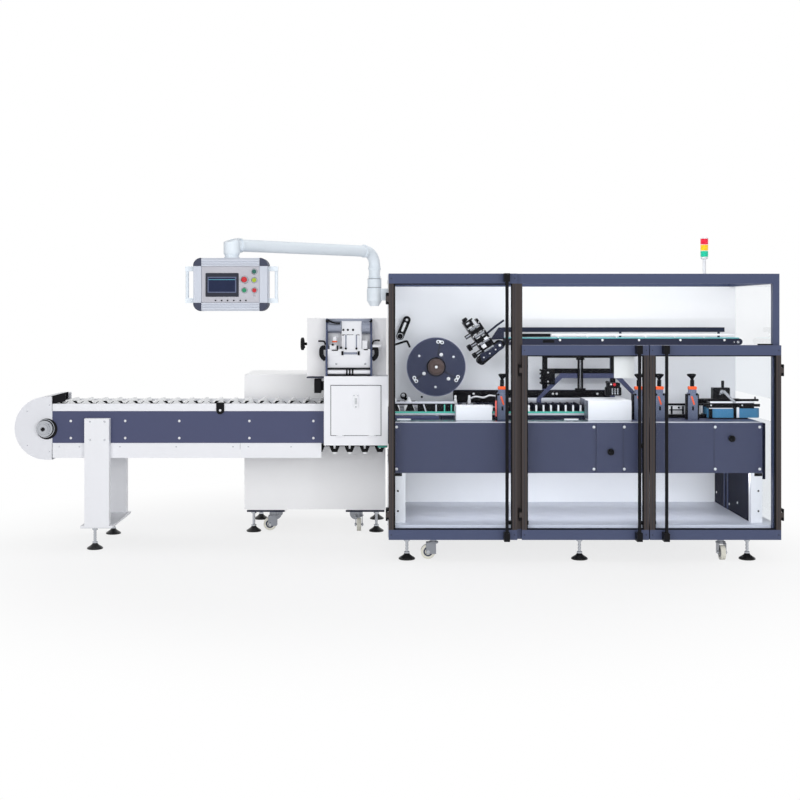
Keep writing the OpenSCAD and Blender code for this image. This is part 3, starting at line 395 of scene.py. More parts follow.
def metalFinish(name, colour, rough, depth, stretch, metal):
    tree, shader, where = bareFinish(name)
    grain = placeGroup(tree, grainGroup, where, Colour=tone(*colour), Stretch=stretch, Depth=depth, Rough=rough)
    feed(tree, shader["Base Color"], grain["Colour"])
    feed(tree, shader["Roughness"], grain["Roughness"])
    setInputs(shader, {"Metallic": metal})
    raiseGrain(tree, shader, grain["Height"], 0.06, 0.0002)


def clearFinish(name, colour):
    # clear sheet: bends and mirrors light, but lets lamp light straight through
    tree, shader = bareFinish(name)[:2]
    setInputs(shader, {"Base Color": tone(*colour), "Roughness": 0.0, "Transmission Weight": 1.0, "IOR": 1.1})
    through = newNode(tree, "BsdfTransparent", [tone(*colour)]).outputs[0]
    shadow = newNode(tree, "LightPath").outputs["Is Shadow Ray"]
    mixShaders(tree, shadow, tree.nodes["Principled BSDF"].outputs[0], through)


def glowFinish(tree, shader, shown, glow, rough):
    feed(tree, shader["Base Color"], shown)
    feed(tree, shader["Emission Color"], shown)
    setInputs(shader, {"Emission Strength": glow, "Roughness": rough})


def lensFinish(name, colour):
    # a lit lens: the colour deepens in patches
    tree, shader, where = bareFinish(name)
    dark = tuple(0.45 * c for c in tone(*colour)[:3]) + (1.0,)
    deep = rangeNode(tree, noiseNode(tree, where, 60.0), 0.4, 0.8, 0.0, 0.5)
    glowFinish(tree, shader, mixColour(tree, deep, tone(*colour), dark), 0.25, 0.22)


screenSet = {
    "middle": (-0.9098, 1.642), "rim": (0.0715, 0.0375), "rimSoft": 0.001, "bar": (0.0262, 0.0266, 0.0295, 0.0291),
    "field": ((26, 33, 58), (36, 44, 72)), "barColour": (110, 190, 210), "rimColour": (96, 104, 130),
}


def screenFinish(name):
    # a plain lit screen: pale rim, dim field, one thin bar near the top, all from the position
    tree, shader, where = bareFinish(name)
    split, (midX, midZ), (rimX, rimZ) = splitNode(tree, where), screenSet["middle"], screenSet["rim"]
    across = mathNode(tree, "ABSOLUTE", mathNode(tree, "SUBTRACT", split["X"], midX))
    upward = mathNode(tree, "SUBTRACT", split["Z"], midZ)
    soft, (b0, b1, b2, b3) = screenSet["rimSoft"], screenSet["bar"]
    beyond = rangeNode(tree, mathNode(tree, "ABSOLUTE", upward), rimZ, rimZ + soft)
    rim = mathNode(tree, "MAXIMUM", rangeNode(tree, across, rimX, rimX + soft), beyond)
    bar = mathNode(tree, "MULTIPLY", rangeNode(tree, upward, b0, b1), rangeNode(tree, upward, b2, b3))
    field = mixColour(tree, noiseNode(tree, where, 22.0), *(tone(*c) for c in screenSet["field"]))
    shown = mixColour(tree, mathNode(tree, "MULTIPLY", bar, 0.7), field, tone(*screenSet["barColour"]))
    glowFinish(tree, shader, mixColour(tree, rim, shown, tone(*screenSet["rimColour"])), 0.06, 0.2)
    setInputs(shader, {"Specular IOR Level": 0.15})


def frontFinish(name, front, behind, depth):
    # the colour changes from front to behind where the depth passes a value
    tree, shader, where = bareFinish(name)
    share = rangeNode(tree, splitNode(tree, where)["Y"], doorY + depth - 0.0004, doorY + depth + 0.0004)
    grain = rangeNode(tree, noiseNode(tree, where, 90.0), 0.0, 1.0, 0.94, 1.06)
    feed(tree, shader["Base Color"], scaleColour(tree, mixColour(tree, share, tone(*front), tone(*behind)), grain))
    setInputs(shader, {"Roughness": 0.45, "Specular IOR Level": 0.25})


def bandFinish(name, low, high, right):
    # bronze between two heights, frame paint above, below and past a place on the right
    tree, shader, where = bareFinish(name)
    split, soft = splitNode(tree, where), 0.0005
    above = rangeNode(tree, split["Z"], high - soft, high + soft)
    below = rangeNode(tree, split["Z"], low + soft, low - soft)
    past = rangeNode(tree, split["X"], right - soft, right + soft)
    share = mathNode(tree, "MAXIMUM", mathNode(tree, "MAXIMUM", above, below), past)
    bronze = {"Colour": tone(70, 63, 62), "Stretch": (700.0, 700.0, 6.0), "Depth": 0.3, "Rough": 0.42}
    paint = {"Colour": tone(66, 75, 105), "Blotch": 0.1, "Peel": 900.0, "Rough": 0.45, "Dust": 0.06}
    grain, skin = placeGroup(tree, grainGroup, where, **bronze), placeGroup(tree, coatGroup, where, **paint)
    feed(tree, shader["Base Color"], mixColour(tree, share, grain["Colour"], skin["Colour"]))
    feed(tree, shader["Roughness"], grain["Roughness"])
    feed(tree, shader["Metallic"], mathNode(tree, "MULTIPLY", mathNode(tree, "SUBTRACT", 1.0, share), 0.55))
    raiseGrain(tree, shader, grain["Height"], 0.06, 0.0002)


coats = (  # colours; roughness, blotches, scale of the peel, dust, and edge wear with a painted edge highlight; then what isn't usual
    # painted shade: the second white is a darker copy of the white paint, for the infeed end cover
    ({"whitePaint": (238, 239, 243), "shadedEndWhite": (230, 231, 236)}, 0.42, 0.035, 900, 0.03, 0, {"bump": 0.05}),
    # painted light and shade: the first white is a brighter copy of the white paint, standing in for light on the
    # shaded cabinet and folder housing; the second is a darker copy, painted shade on the brightly lit rear wall
    ({"brightenedCabinetWhite": (253, 253, 254), "dimmedWallWhite": (246, 247, 250)}, 0.42, 0.03, 900, 0.02, 0, {"bump": 0.05}),
    ({"floorSteel": (221, 225, 236)}, 0.36, 0.06, 500, 0.06, 0, {"bump": 0.05}),
    ({"bluePaint": (69, 74, 105)}, 0.48, 0.1, 900, 0.06, 0.3, {"rubAndGlintColour": (140, 142, 168), "bump": 0.08}),
    # painted shade: a darker copy of the blue paint above, for the table
    ({"shadedTableBlue": (62, 67, 94)}, 0.46, 0.12, 900, 0.06, 0.3, {"rubAndGlintColour": (140, 142, 168), "bump": 0.08}),
    ({"framePaint": (66, 75, 105)}, 0.45, 0.1, 900, 0.06, 0.4, {"rubAndGlintColour": (130, 134, 162), "bump": 0.08}),
    ({"platePaint": (38, 41, 58)}, 0.5, 0.14, 600, 0.05, 0.3, {"shine": 0.2}),
    # painted shade: a darker copy of the plate paint above, for the table's side plates and end
    ({"sidePaint": (26, 28, 43)}, 0.6, 0.16, 600, 0.05, 0.3, {"shine": 0.05}),
    ({"reelPaint": (40, 45, 69)}, 0.42, 0.12, 280, 0.04, 0.5, {}),
    # painted highlight: a lighter copy of the reel paint, for the thin ring along the reel's rim
    ({"litReelPaint": (104, 108, 136)}, 0.4, 0.1, 600, 0.03, 0, {}),
    ({"armPaint": (221, 229, 236)}, 0.4, 0.03, 300, 0.04, 0, {}),
    ({"blackMetal": (13, 13, 17)}, 0.4, 0.2, 600, 0.06, 0.25, {"rubAndGlintColour": (70, 72, 80), "shine": 0.16}),
    ({"blackPlastic": (15, 15, 18)}, 0.45, 0.18, 600, 0.06, 0, {"bump": 0.2, "shine": 0.16}),
    ({"blackGloss": (13, 13, 16)}, 0.3, 0.15, 600, 0.05, 0, {"coat": 0.15, "shine": 0.3}),
    ({"bezelBlack": (22, 26, 42)}, 0.35, 0.1, 600, 0.05, 0, {}),
    ({"greyPlastic": (58, 62, 80)}, 0.55, 0.15, 420, 0.1, 0, {"bump": 0.3}),
    ({"adjusterGrey": (100, 108, 130)}, 0.42, 0.08, 700, 0.05, 0, {}),
    ({"shadowGrey": (44, 46, 54)}, 0.7, 0.2, 500, 0, 0, {}),
    ({"nylon": (222, 220, 208)}, 0.55, 0.08, 300, 0.12, 0, {}),
    ({"chainPlastic": (92, 96, 104)}, 0.5, 0.12, 300, 0.1, 0, {}),
    # painted light: the flights' white is raised above the lug white below, making up for the little lamp light that
    # reaches their slanted faces
    ({"brightenedFlightWhite": (251, 252, 253)}, 0.45, 0.05, 300, 0.03, 0, {}),
    ({"lugWhite": (232, 234, 236)}, 0.45, 0.05, 300, 0.05, 0, {}),
    ({"placard": (242, 242, 240)}, 0.5, 0.03, 260, 0.1, 0, {}),
    ({"beltBlue": (72, 132, 172)}, 0.6, 0.12, 520, 0.05, 0, {"bump": 0.4}),
    ({"beltTeal": (112, 190, 196), "beltGreen": (86, 190, 170)}, 0.55, 0.1, 520, 0.05, 0, {"bump": 0.4}),
    ({"orangePlastic": (240, 92, 40)}, 0.4, 0.1, 260, 0.1, 0, {}),
    ({"pinkScale": (238, 110, 100)}, 0.45, 0.1, 260, 0.1, 0, {}),
    ({"redPlastic": (186, 14, 28), "greenPlastic": (8, 130, 86), "darkGreenPlastic": (6, 88, 76),
      "limePlastic": (156, 176, 26)}, 0.3, 0.1, 260, 0.1, 0, {"coat": 0.3}),
)
metals = {  # colour, roughness, depth of the grain, its stretch, share of metal
    "steel": ((205, 208, 212), 0.26, 0.16, (14, 700, 700), 1.0),
    "sheetSteel": ((132, 139, 156), 0.18, 0.12, (14, 700, 700), 1.0),
    "zinc": ((150, 153, 160), 0.38, 0.14, (240, 240, 240), 1.0),
    "chrome": ((184, 187, 193), 0.14, 0.1, (60, 60, 60), 1.0),
    "panelAlu": ((196, 201, 212), 0.38, 0.06, (10, 600, 600), 0.35),
    "facePlate": ((186, 186, 194), 0.4, 0.1, (8, 700, 700), 0.3),
    "hubBrown": ((82, 68, 65), 0.4, 0.2, (200, 200, 200), 0.4),
    "rollerGrey": ((150, 156, 172), 0.3, 0.2, (12, 500, 500), 0.7),
    "boltWhite": ((236, 236, 238), 0.3, 0.08, (300, 300, 300), 0.35),
    "trimPaint": ((214, 216, 224), 0.34, 0.08, (10, 600, 600), 0.5),
}
lenses = {"towerGreen": (14, 196, 158), "towerYellow": (248, 200, 24), "towerRed": (232, 28, 62)}
for colours, *values, unusual in coats:
    for name, colour in colours.items():
        coatFinish(name, colour, *values, **unusual)
for name, values in metals.items():
    metalFinish(name, *values)
for name, colour in lenses.items():
    lensFinish(name, colour)
clearFinish("clearPane", (247, 249, 251))
screenFinish("screenGlow")
frontFinish("lugTips", front=(236, 238, 240), behind=(30, 33, 48), depth=0.484)
bandFinish("tallBand", low=0.186, high=1.665, right=2.2)
bandFinish("lowBand", low=0.186, high=1.234, right=9.0)

# the finish of each CAD node, and the slot that goes with each finish
nodeFinish = {
    "tallBand": "frame_posts left_door_stiles", "lowBand": "middle_door_stiles right_door_stiles",
    "framePaint": "frame_beams adjusters left_door_rails middle_door_rails right_door_rails",
    "whitePaint": "left_panels table_posts infeed_covers infeed_leg folder_head front_box access_door cover_boxes "
                  "signal_tower",
    "floorSteel": "floor_plate", "dimmedWallWhite": "rear_wall", "shadedEndWhite": "infeed_end_cover",
    "brightenedCabinetWhite": "rear_cabinet folder_housing", "chainPlastic": "bucket_chain", "brightenedFlightWhite": "bucket_flights",
    "clearPane": "right_panes left_door_pane middle_door_pane right_door_pane", "blackPlastic": "levelling_feet",
    "blackMetal": "door_hinges label_unit outfeed_frame left_door_handle middle_door_handle right_door_handle",
    "shadedTableBlue": "table_body table_panels", "sidePaint": "table_plates", "platePaint": "upper_conveyor carton_track",
    "bluePaint": "infeed_panels gantry", "chrome": "chain_shafts", "reelPaint": "label_reel", "panelAlu": "panel_box",
    "lugTips": "carton_lugs", "beltBlue": "outfeed_belts", "armPaint": "arm_bracket panel_arm panel_grips",
    "zinc": "caster_mounts left_caster_fork right_caster_fork cabinet_left_caster_fork cabinet_right_caster_fork",
    "nylon": "left_caster_wheel right_caster_wheel cabinet_left_caster_wheel cabinet_right_caster_wheel",
}
finishOf = {name: finish for finish, names in nodeFinish.items() for name in names.split()}
for name, finish in finishOf.items():
    nodes[name].data.materials.clear()
    nodes[name].data.materials.append(finishes[finish])
slotFinishes = {
    "black_metal": "blackMetal blackPlastic greyPlastic bezelBlack", "white_paint": "whitePaint boltWhite placard",
    "steel": "steel chrome trimPaint sheetSteel rollerGrey", "panel_alu": "panelAlu facePlate", "zinc": "zinc",
    "plate_paint": "platePaint sidePaint", "frame_paint": "framePaint adjusterGrey", "lug_white": "lugWhite",
    "belt_blue": "beltBlue beltTeal beltGreen", "arm_paint": "armPaint", "foot_metal": "blackGloss",
    "stile_bronze": "hubBrown", "reel_paint": "litReelPaint", "tower_plastic": "towerGreen towerYellow towerRed",
}
slotOf = {finish: slot for slot, names in slotFinishes.items() for finish in names.split()}
print("finishes:", len(finishOf), "nodes of", len(nodes))


def plain(table):
    # pieces made of blocks alone
    for name, (finish, *rows) in table.items():
        piece(name, finish, blocks(rows))


def border(x0, d0, z0, x1, d1, z1, w, edge):
    # four strips round a rectangle
    return blocks([(x0, d0, z0, x0 + w, d1, z1, edge), (x1 - w, d0, z0, x1, d1, z1, edge),
                   (x0, d0, z0, x1, d1, z0 + w, edge), (x0, d0, z1 - w, x1, d1, z1, edge)])


def shifted(outline, x, side=1):
    return [(x + side * u, z) for u, z in outline]


# operator panel
panelSet = {
    "x": -864.3, "depth": -674.3, "low": 1500.0, "high": 1788.0, "half": 202.0, "deep": 70.0, "rail": 44.0,
    "groove": ((0, 0), (0.22, 0), (0.26, 3), (0.34, 3), (0.38, 0), (0.6, 0), (0.64, 3), (0.72, 3), (0.76, 0), (1, 0)),
    "side": ((44, 2), (2, 2), (0, 8), (3, 44), (3, 50), (0, 52), (0, 132), (3, 140), (44, 140)),
    "corners": ((-1, -1, 180), (-1, 1, 90), (1, -1, 270), (1, 1, 0)),
    "buttons": ((-734.5, 1713.6, 12, "darkGreenPlastic"), (-787, 1670, 16, "redPlastic"),
                (-734.5, 1667.5, 12, "limePlastic"), (-788, 1612.5, 12, "greenPlastic"),
                (-733, 1612, 12, "redPlastic")),
    "lock": (-733.5, 1583), "pegs": (-944.7, -911.9, -879.7, -845.5, -810.6, -779.9), "pegRow": 1556.6,
    "bezel": (-999, 1577, -819, 1706), "glass": (-987, 1599, -832, 1685),
    "neck": ((42, 0), (42, 6), (38, 8), (38, 16), (42, 18), (42, 23.6)),
}


def makePanel():
    x, d, z0, z1, half, deep, rail = (panelSet[k] for k in ("x", "depth", "low", "high", "half", "deep", "rail"))
    front, back, inner = d - deep, d + deep, half - rail
    ride = {"body": "operator_panel"}
    share, sink = np.array(panelSet["groove"]).T  # two grooves across the flat face of a rail
    top = np.stack([front + sink, z1 - rail + share * (rail - 10)], -1)
    top = np.vstack([top, [(front + 10, z1), (back - 10, z1), (back, z1 - 10), (back, z1 - rail)]])
    bottom = np.stack([top[:, 0], z0 + z1 - top[:, 1]], -1)
    rails = [prism(o, x - inner, x + inner, "x") for o in (top, bottom)]
    for side in (-1, 1):
        outline = [(x + side * (half - a), front + b) for a, b in panelSet["side"]]
        rails.append(prism(outline, z0 + rail, z1 - rail, "z"))
    piece("panelRails", "panelAlu", rails, stands=("panel_box",), bevel=0.8, **ride)
    caps = []
    for sx, sz, a in panelSet["corners"]:
        corner = (x + sx * inner, (z0 + z1) / 2 + sz * ((z1 - z0) / 2 - rail))
        caps.append(prism(np.vstack([arc(corner, rail + 1, a, a + 90, 14), [corner]]), front - 2, back + 2))
    piece("panelCaps", "greyPlastic", caps, bevel=4, **ride)
    left, right, low, high = x - inner, x + inner, z0 + rail, z1 - rail
    for name, finish, (xa, za, xb, zb), da, db, edge in (
        ("panelBack", "panelAlu", (left - 2, low - 2, right + 2, high + 2), front + 8, back - 4, 3),
        ("panelFace", "facePlate", (left + 2, low + 2, right - 2, high - 2), front + 4, front + 9, 1.2),
        ("screenBezel", "bezelBlack", panelSet["bezel"], front - 3, front + 6, 5),
        ("screenGlass", "screenGlow", panelSet["glass"], front - 4, front - 1, 1),
    ):
        piece(name, finish, [block((xa, da, za), (xb, db, zb), edge)], **ride)
    rings = []
    for k, (bx, bz, r, finish) in enumerate(panelSet["buttons"]):
        rings.append(turned([(r + 5, 4), (r + 5, 0), (r + 3, -3), (r + 1, -4)], (bx, front, bz)))
        cap = [(r, 0), (r, -12), (r - 3, -16), (2, -17)]
        if r > 14:  # the mushroom head
            cap = [(r - 3, 0), (r - 3, -15), (r, -18), (r, -25.5), (r - 3, -30), (2, -31)]
        piece("panelButton%d" % k, finish, [turned(cap, (bx, front, bz))], **ride)
    lockX, lockZ = panelSet["lock"]
    rings.append(turned([(5, 4), (5, -3), (2, -4)], (lockX, front, lockZ)))
    piece("buttonRings", "chrome", rings, **ride)
    pegs = [roller((px, front - 2, panelSet["pegRow"]), "d", 8, 4, 1, 14) for px in panelSet["pegs"]]
    piece("panelPegs", "blackPlastic", pegs, slot=None, **ride)
    piece("panelNeck", "armPaint", [turned(panelSet["neck"], (x, d, z1), "z", 40)], **ride)


armSet = {
    "at": (-90, 100), "pipe": 34.0, "rings": ((1702, 3.5, 10), (1750, 4.5, 14), (1766, 3, 6)), "seams": (1642, 1694),
}


def makeArmRings():
    at, pipe, ride = armSet["at"], armSet["pipe"], {"body": "operator_arm"}
    rings = [ring((*at, z), "z", pipe - 1, pipe + r, h) for z, r, h in armSet["rings"]]
    piece("armRings", "armPaint", rings, bevel=1, **ride)
    seams = [ring((*at, z), "z", pipe + 7, pipe + 8.6, 2.5) for z in armSet["seams"]]
    piece("armSeams", "shadowGrey", seams, **ride)


towerSet = {
    "at": (2146.0, 1030.0), "base": 1725.0, "first": 142, "pitch": 42, "top": 266, "cap": ((26, 0), (26, 5), (20, 9)),
    "stem": ((20, 0), (20, 6), (14, 10), (11, 12), (11, 126), (22, 130), (24, 132), (24, 142)),
    "lens": {"radius": 26, "rib": 0.7, "ribPitch": 4.75, "high": 38},
}


def makeTower():
    at, base, lens = towerSet["at"], towerSet["base"], towerSet["lens"]
    stem = [turned(towerSet["stem"], (*at, base), "z"), turned(towerSet["cap"], (*at, base + towerSet["top"]), "z")]
    piece("towerStem", "whitePaint", stem, slot="tower_plastic", stands=("signal_tower",))
    wave = np.linspace(0, lens["high"], 27)  # fine ribs round the lens, a cosine of the height
    profile = np.stack([lens["radius"] + lens["rib"] * np.cos(wave * 2 * math.pi / lens["ribPitch"]), wave + 2], -1)
    for k, name in enumerate(lenses):
        piece(name, name, [turned(profile, (*at, base + towerSet["first"] + k * towerSet["pitch"]), "z", 36)])


footSet = {
    "at": [(x, d, 126) for x in (106, 1149, 2162) for d in (56, 1030)]
    + [(x, d, 140) for x in (-919, -85) for d in (1040, 1560)] + [(-1855, d, 136) for d in (395, 945)],
    "pad": ((46, 0), (50, 2), (50, 8), (46, 12), (30, 22), (20, 30), (16, 36), (13, 38)),
}


def makeFeet():
    pads, stems = [], []
    for x, d, top in footSet["at"]:
        pads.append(turned(footSet["pad"], (x, d, 0), "z", 40))
        thread = np.linspace(26, top, 46)  # the radius sways as a cosine of the height
        stems.append(turned(np.stack([9.5 + 0.8 * np.cos(thread * math.pi), thread], -1), (x, d, 0), "z", 20))
        stems += [hexHead((x, d, 38), "z", 17, 11, 1), hexHead((x, d, top - 16), "z", 18, 15, 1)]
    piece("footPads", "blackGloss", pads, stands=("levelling_feet",))
    piece("footStems", "chrome", stems, slot="foot_metal")


casterSet = {
    "at": {"left": (266, 56, 180), "right": (2002, 56, 270), "cabinet_left": (-779, 1070, 180),
           "cabinet_right": (-203, 1070, 270)},
    "axle": 48, "trail": 32, "raceAt": 97, "race": ((25, 0), (27, 2), (27, 6), (24, 8)),
    "sides": (("WheelHub", "greyPlastic", "_wheel", "wheel_nylon", ((30, 13.2), (28, 14.4), (20, 14.6), (18, 13.6))),
              ("AxleNuts", "chrome", "_caster", "zinc", ((11, 24.2), (11, 27), (7, 30)))),
}


def makeCasters():
    for name, (x, d, turn) in casterSet["at"].items():
        a = math.radians(turn)
        ahead, side = np.array([math.cos(a), math.sin(a), 0]), np.array([-math.sin(a), math.cos(a), 0])
        axle = np.array([x, d, casterSet["axle"]]) + casterSet["trail"] * ahead
        spokes = np.cos(circle(28))[:, None] * ahead + np.sin(circle(28))[:, None] * np.array([0, 0, 1])
        for label, finish, body, slot, profile in casterSet["sides"]:
            r, t = np.array(profile).T[:, :, None, None]
            parts = [gridPart(axle + s * t * side + r * spokes) for s in (-1, 1)]
            piece(name + label, finish, parts, name + body, slot)
        piece(name + "Race", "zinc", [turned(casterSet["race"], (x, d, casterSet["raceAt"]), "z")], name + "_caster")


makePanel()
makeArmRings()
makeTower()
makeFeet()
makeCasters()
print("panel, tower, feet and casters made")


# infeed
infeedSet = {
    "front": 420, "back": 920, "drum": (-2171, 758), "pitch": 96, "flights": 25, "firstCore": 18, "halfWay": -1150,
    "bolts": (-2014, -1670, -1327.5, -884, -479), "boltRows": (804, 696),
    "skirt": (-2088, -1961, -1704, -1348, -988, -891, -620),
    "corners": ((-2148, 905), (-2148, 610), (-2290, 650), (-2290, 866)),
    "hub": ((58, 0), (58, -8), (55, -10), (51, -11), (51, -36), (48, -39), (40, -39.5), (40, -56), (37, -59),
            (30, -59.5), (30, -68), (27, -70), (14, -70.5), (13, -62), (3, -61)),
    "hubRings": ((-67.2, 30.2, 35, 1.6), (-19.4, 51.2, 54.5, 2), (-47.2, 40.2, 42, 1.6)),
    "chute": ((-2137, 908), (-2050, 936), (-2048, 985), (-2137, 962)),
    "lip": ((-2137, 908), (-2050, 936), (-2049, 942), (-2137, 914)),
    "ends": (((-31, 863), (31, 863), (10, 915), (-10, 915)), ((-39, 653), (39, 653), (17, 602), (-17, 602))),
    "shadedFlanks": (((-36, 929), (-11, 929), (3, 907), (-8, 907)), ((6, 906), (12, 906), (38, 927), (32, 927))),
    "core": ((-8, 652), (8, 652), (5, 624), (-5, 624)),
}
infeedPlain = {
    "returnGuide": ("beltGreen", (-72, 452, 632, -10, 465, 646, 2)),
    "returnShade": ("blackMetal", (-403, 465.6, 639, -10, 467.4, 666, 0.6)),
    "endSeam": ("shadowGrey", (-2133, 418.8, 560, -2130.4, 420.2, 664, 0.3),
                (-2133, 418.8, 868, -2130.4, 420.2, 956, 0.3)),
    "legShelf": ("steel", (-1942, 366, 133.5, -1742, 974, 136.5, 1)),
}


def makeInfeed():
    f, (x0, z0) = infeedSet["front"], infeedSet["drum"]
    heads = [bolt((x, d, z), 8.5, 5, out=out) for d, out in ((f, -1), (infeedSet["back"], 1))
             for x in infeedSet["bolts"] for z in infeedSet["boltRows"]]
    piece("infeedBolts", "boltWhite", heads)
    screws = [bolt((x, f + 2.8, 641), 5, 2.5, 12) for x in infeedSet["skirt"]]
    screws += [bolt((x, 370, z), 7, 3.5, 14) for x in (-1881, -1790) for z in (804, 690)]
    screws += [bolt((x, f, z), 4.5, 2.5, 12) for x, z in infeedSet["corners"]]
    piece("infeedScrews", "steel", screws)
    piece("bearingPlate", "blackMetal", [turned([(66, 0), (66, -5), (62, -7)], (x0 + 6, f, z0 - 4), "d", 48)])
    flange = [bolt((x, f - 47.4, z), 3.4, 3, 12) for x, z in arc((x0, z0), 44, 45, 315, 4)]  # on the diagonals
    piece("infeedHub", "chrome", [turned(infeedSet["hub"], (x0, f - 8, z0), "d", 48)] + flange)
    core = [ring((x0, f + d, z0), "d", rIn, rOut, t) for d, rIn, rOut, t in infeedSet["hubRings"]]
    core.append(turned([(12, 0), (12, -3), (6, -4)], (x0, f - 68.6, z0), "d", 24))
    piece("hubCore", "blackPlastic", core, slot=None)
    near, far = (prism(infeedSet["chute"], d, d + 5) for d in (432, 495))
    strip = block((-2139, 424, 840), (-2131, 434, 960), 1)
    piece("chute", "blackMetal", [near, prism(infeedSet["lip"], 432, 500), far, strip], bevel=1)
    clamp = prism(np.vstack([arc((-1068, 872), 25, 180, 360, 14), [(-1043, 918), (-1093, 918)]]), 411, 419.5)
    piece("railClamp", "blackMetal", [clamp, block((-1093, 411, 913.2), (-1043, 470, 919), 1.5)], bevel=1.5)
    piece("clampBolt", "boltWhite", [bolt((-1068, 411, 872))], slot=None)
    at = [x0 + infeedSet["pitch"] * k for k in range(infeedSet["flights"])]
    piece("flightEnds", "blackPlastic", [prism(shifted(o, x), 467.6, 469.8) for x in at for o in infeedSet["ends"]])
    cores = [prism(shifted(infeedSet["core"], x), 465.4, 467.5) for x in at[infeedSet["firstCore"]:]]
    piece("flightCores", "lugWhite", cores)
    shadedFlanks = []
    for x in at:
        side = 1 if x < infeedSet["halfWay"] else -1  # painted shade: the dark flank stands for the shaded side of each flight, and changes sides half way
        shadedFlanks += [prism(shifted(o, x, side), 464, 467.4) for o in infeedSet["shadedFlanks"]]
    piece("flightShadedFlanks", "blackPlastic", shadedFlanks)
    plain(infeedPlain)


makeInfeed()
print("infeed made")


# front box, folder and cabinet
folderSet = {
    "cheek": ((271, 1095), (420, 1095), (420, 1453), (331, 1453), (316, 1330), (316, 1245), (271, 1205)),
    "plates": ((-384, 388, 1095, -118, 420, 1441, 2), (-384, 306, 1146, -118, 312, 1262, 2, "x"),
               (-297, 318, 1258, -172, 330, 1446, 4), (-284, 308, 1262, -188, 316, 1350, 3),
               (-384, 312, 1254, -118, 388, 1262, 2), (-372, 312, 1262, -330, 330, 1290, 3),
               (-168, 312, 1262, -136, 330, 1316, 3)),
    "dark": ((-384, 290, 1138, -118, 304, 1146, 2), (-384, 284, 1097, -118, 300, 1104, 2),
             (-268, 280, 1098, -259, 302, 1142, 2), (-250, 280, 1098, -241, 302, 1142, 2),
             (-232, 280, 1098, -223, 302, 1142, 2), (-298, 294, 1224, -285, 308, 1250, 3),
             (-196, 294, 1224, -183, 308, 1250, 3), (-292, 315, 1346, -274, 318.5, 1353, 0.8),
             (-264, 315, 1346, -224, 318.5, 1353, 0.8), (-204, 315, 1346, -186, 318.5, 1353, 0.8),
             (-360, 306, 1250, -318, 316, 1260, 2), (-326, 304, 1256, -318, 316, 1284, 2),
             (-160, 306, 1254, -132, 316, 1262, 2), (-396.5, 318, 1428, -378, 336, 1446, 3),
             (-124, 318, 1428, -105.5, 336, 1446, 3)),
    "pipes": (((-442, 300, 1312), (-410, 300, 1312), (-402, 300, 1304), (-398, 304, 1290)),
              ((-58, 300, 1316), (-84, 300, 1316), (-98, 300, 1310), (-106, 304, 1292))),
    "bow": ((0, 1272), (22, 1268), (26, 1232), (18, 1212), (0, 1196)),
    "strap": ((-384, 306, 1446), (-366, 304, 1434), (-340, 306, 1426), (-306, 308, 1424)),
    "studs": ((-270, 1266), (-204, 1266), (-300, 1272), (-352, 1290)),
    "knob": ((9, 0), (9, -20), (26, -22), (40, -26), (41, -34), (40, -42), (30, -46), (10, -47)),
}
folderPlain = {
    "sideMotor": ("blackMetal", (-467, 290, 989, -424, 380, 1076, 3), (-425, 320, 1004, -404.5, 360, 1060, 2)),
    "sideShelf": ("platePaint", (-513, 270, 1083, -404.5, 400, 1089, 1.5)),
    "cabinetFeetPlates": ("platePaint", (-962, 996, 138, -706, 1000.4, 151, 1),
                          (-292, 996, 138, -30, 1000.4, 151, 1)),
    "cabinetPulls": ("blackPlastic", (-540, 1599, 540, -522, 1616, 660, 5), (-480, 1599, 540, -462, 1616, 660, 5)),
}


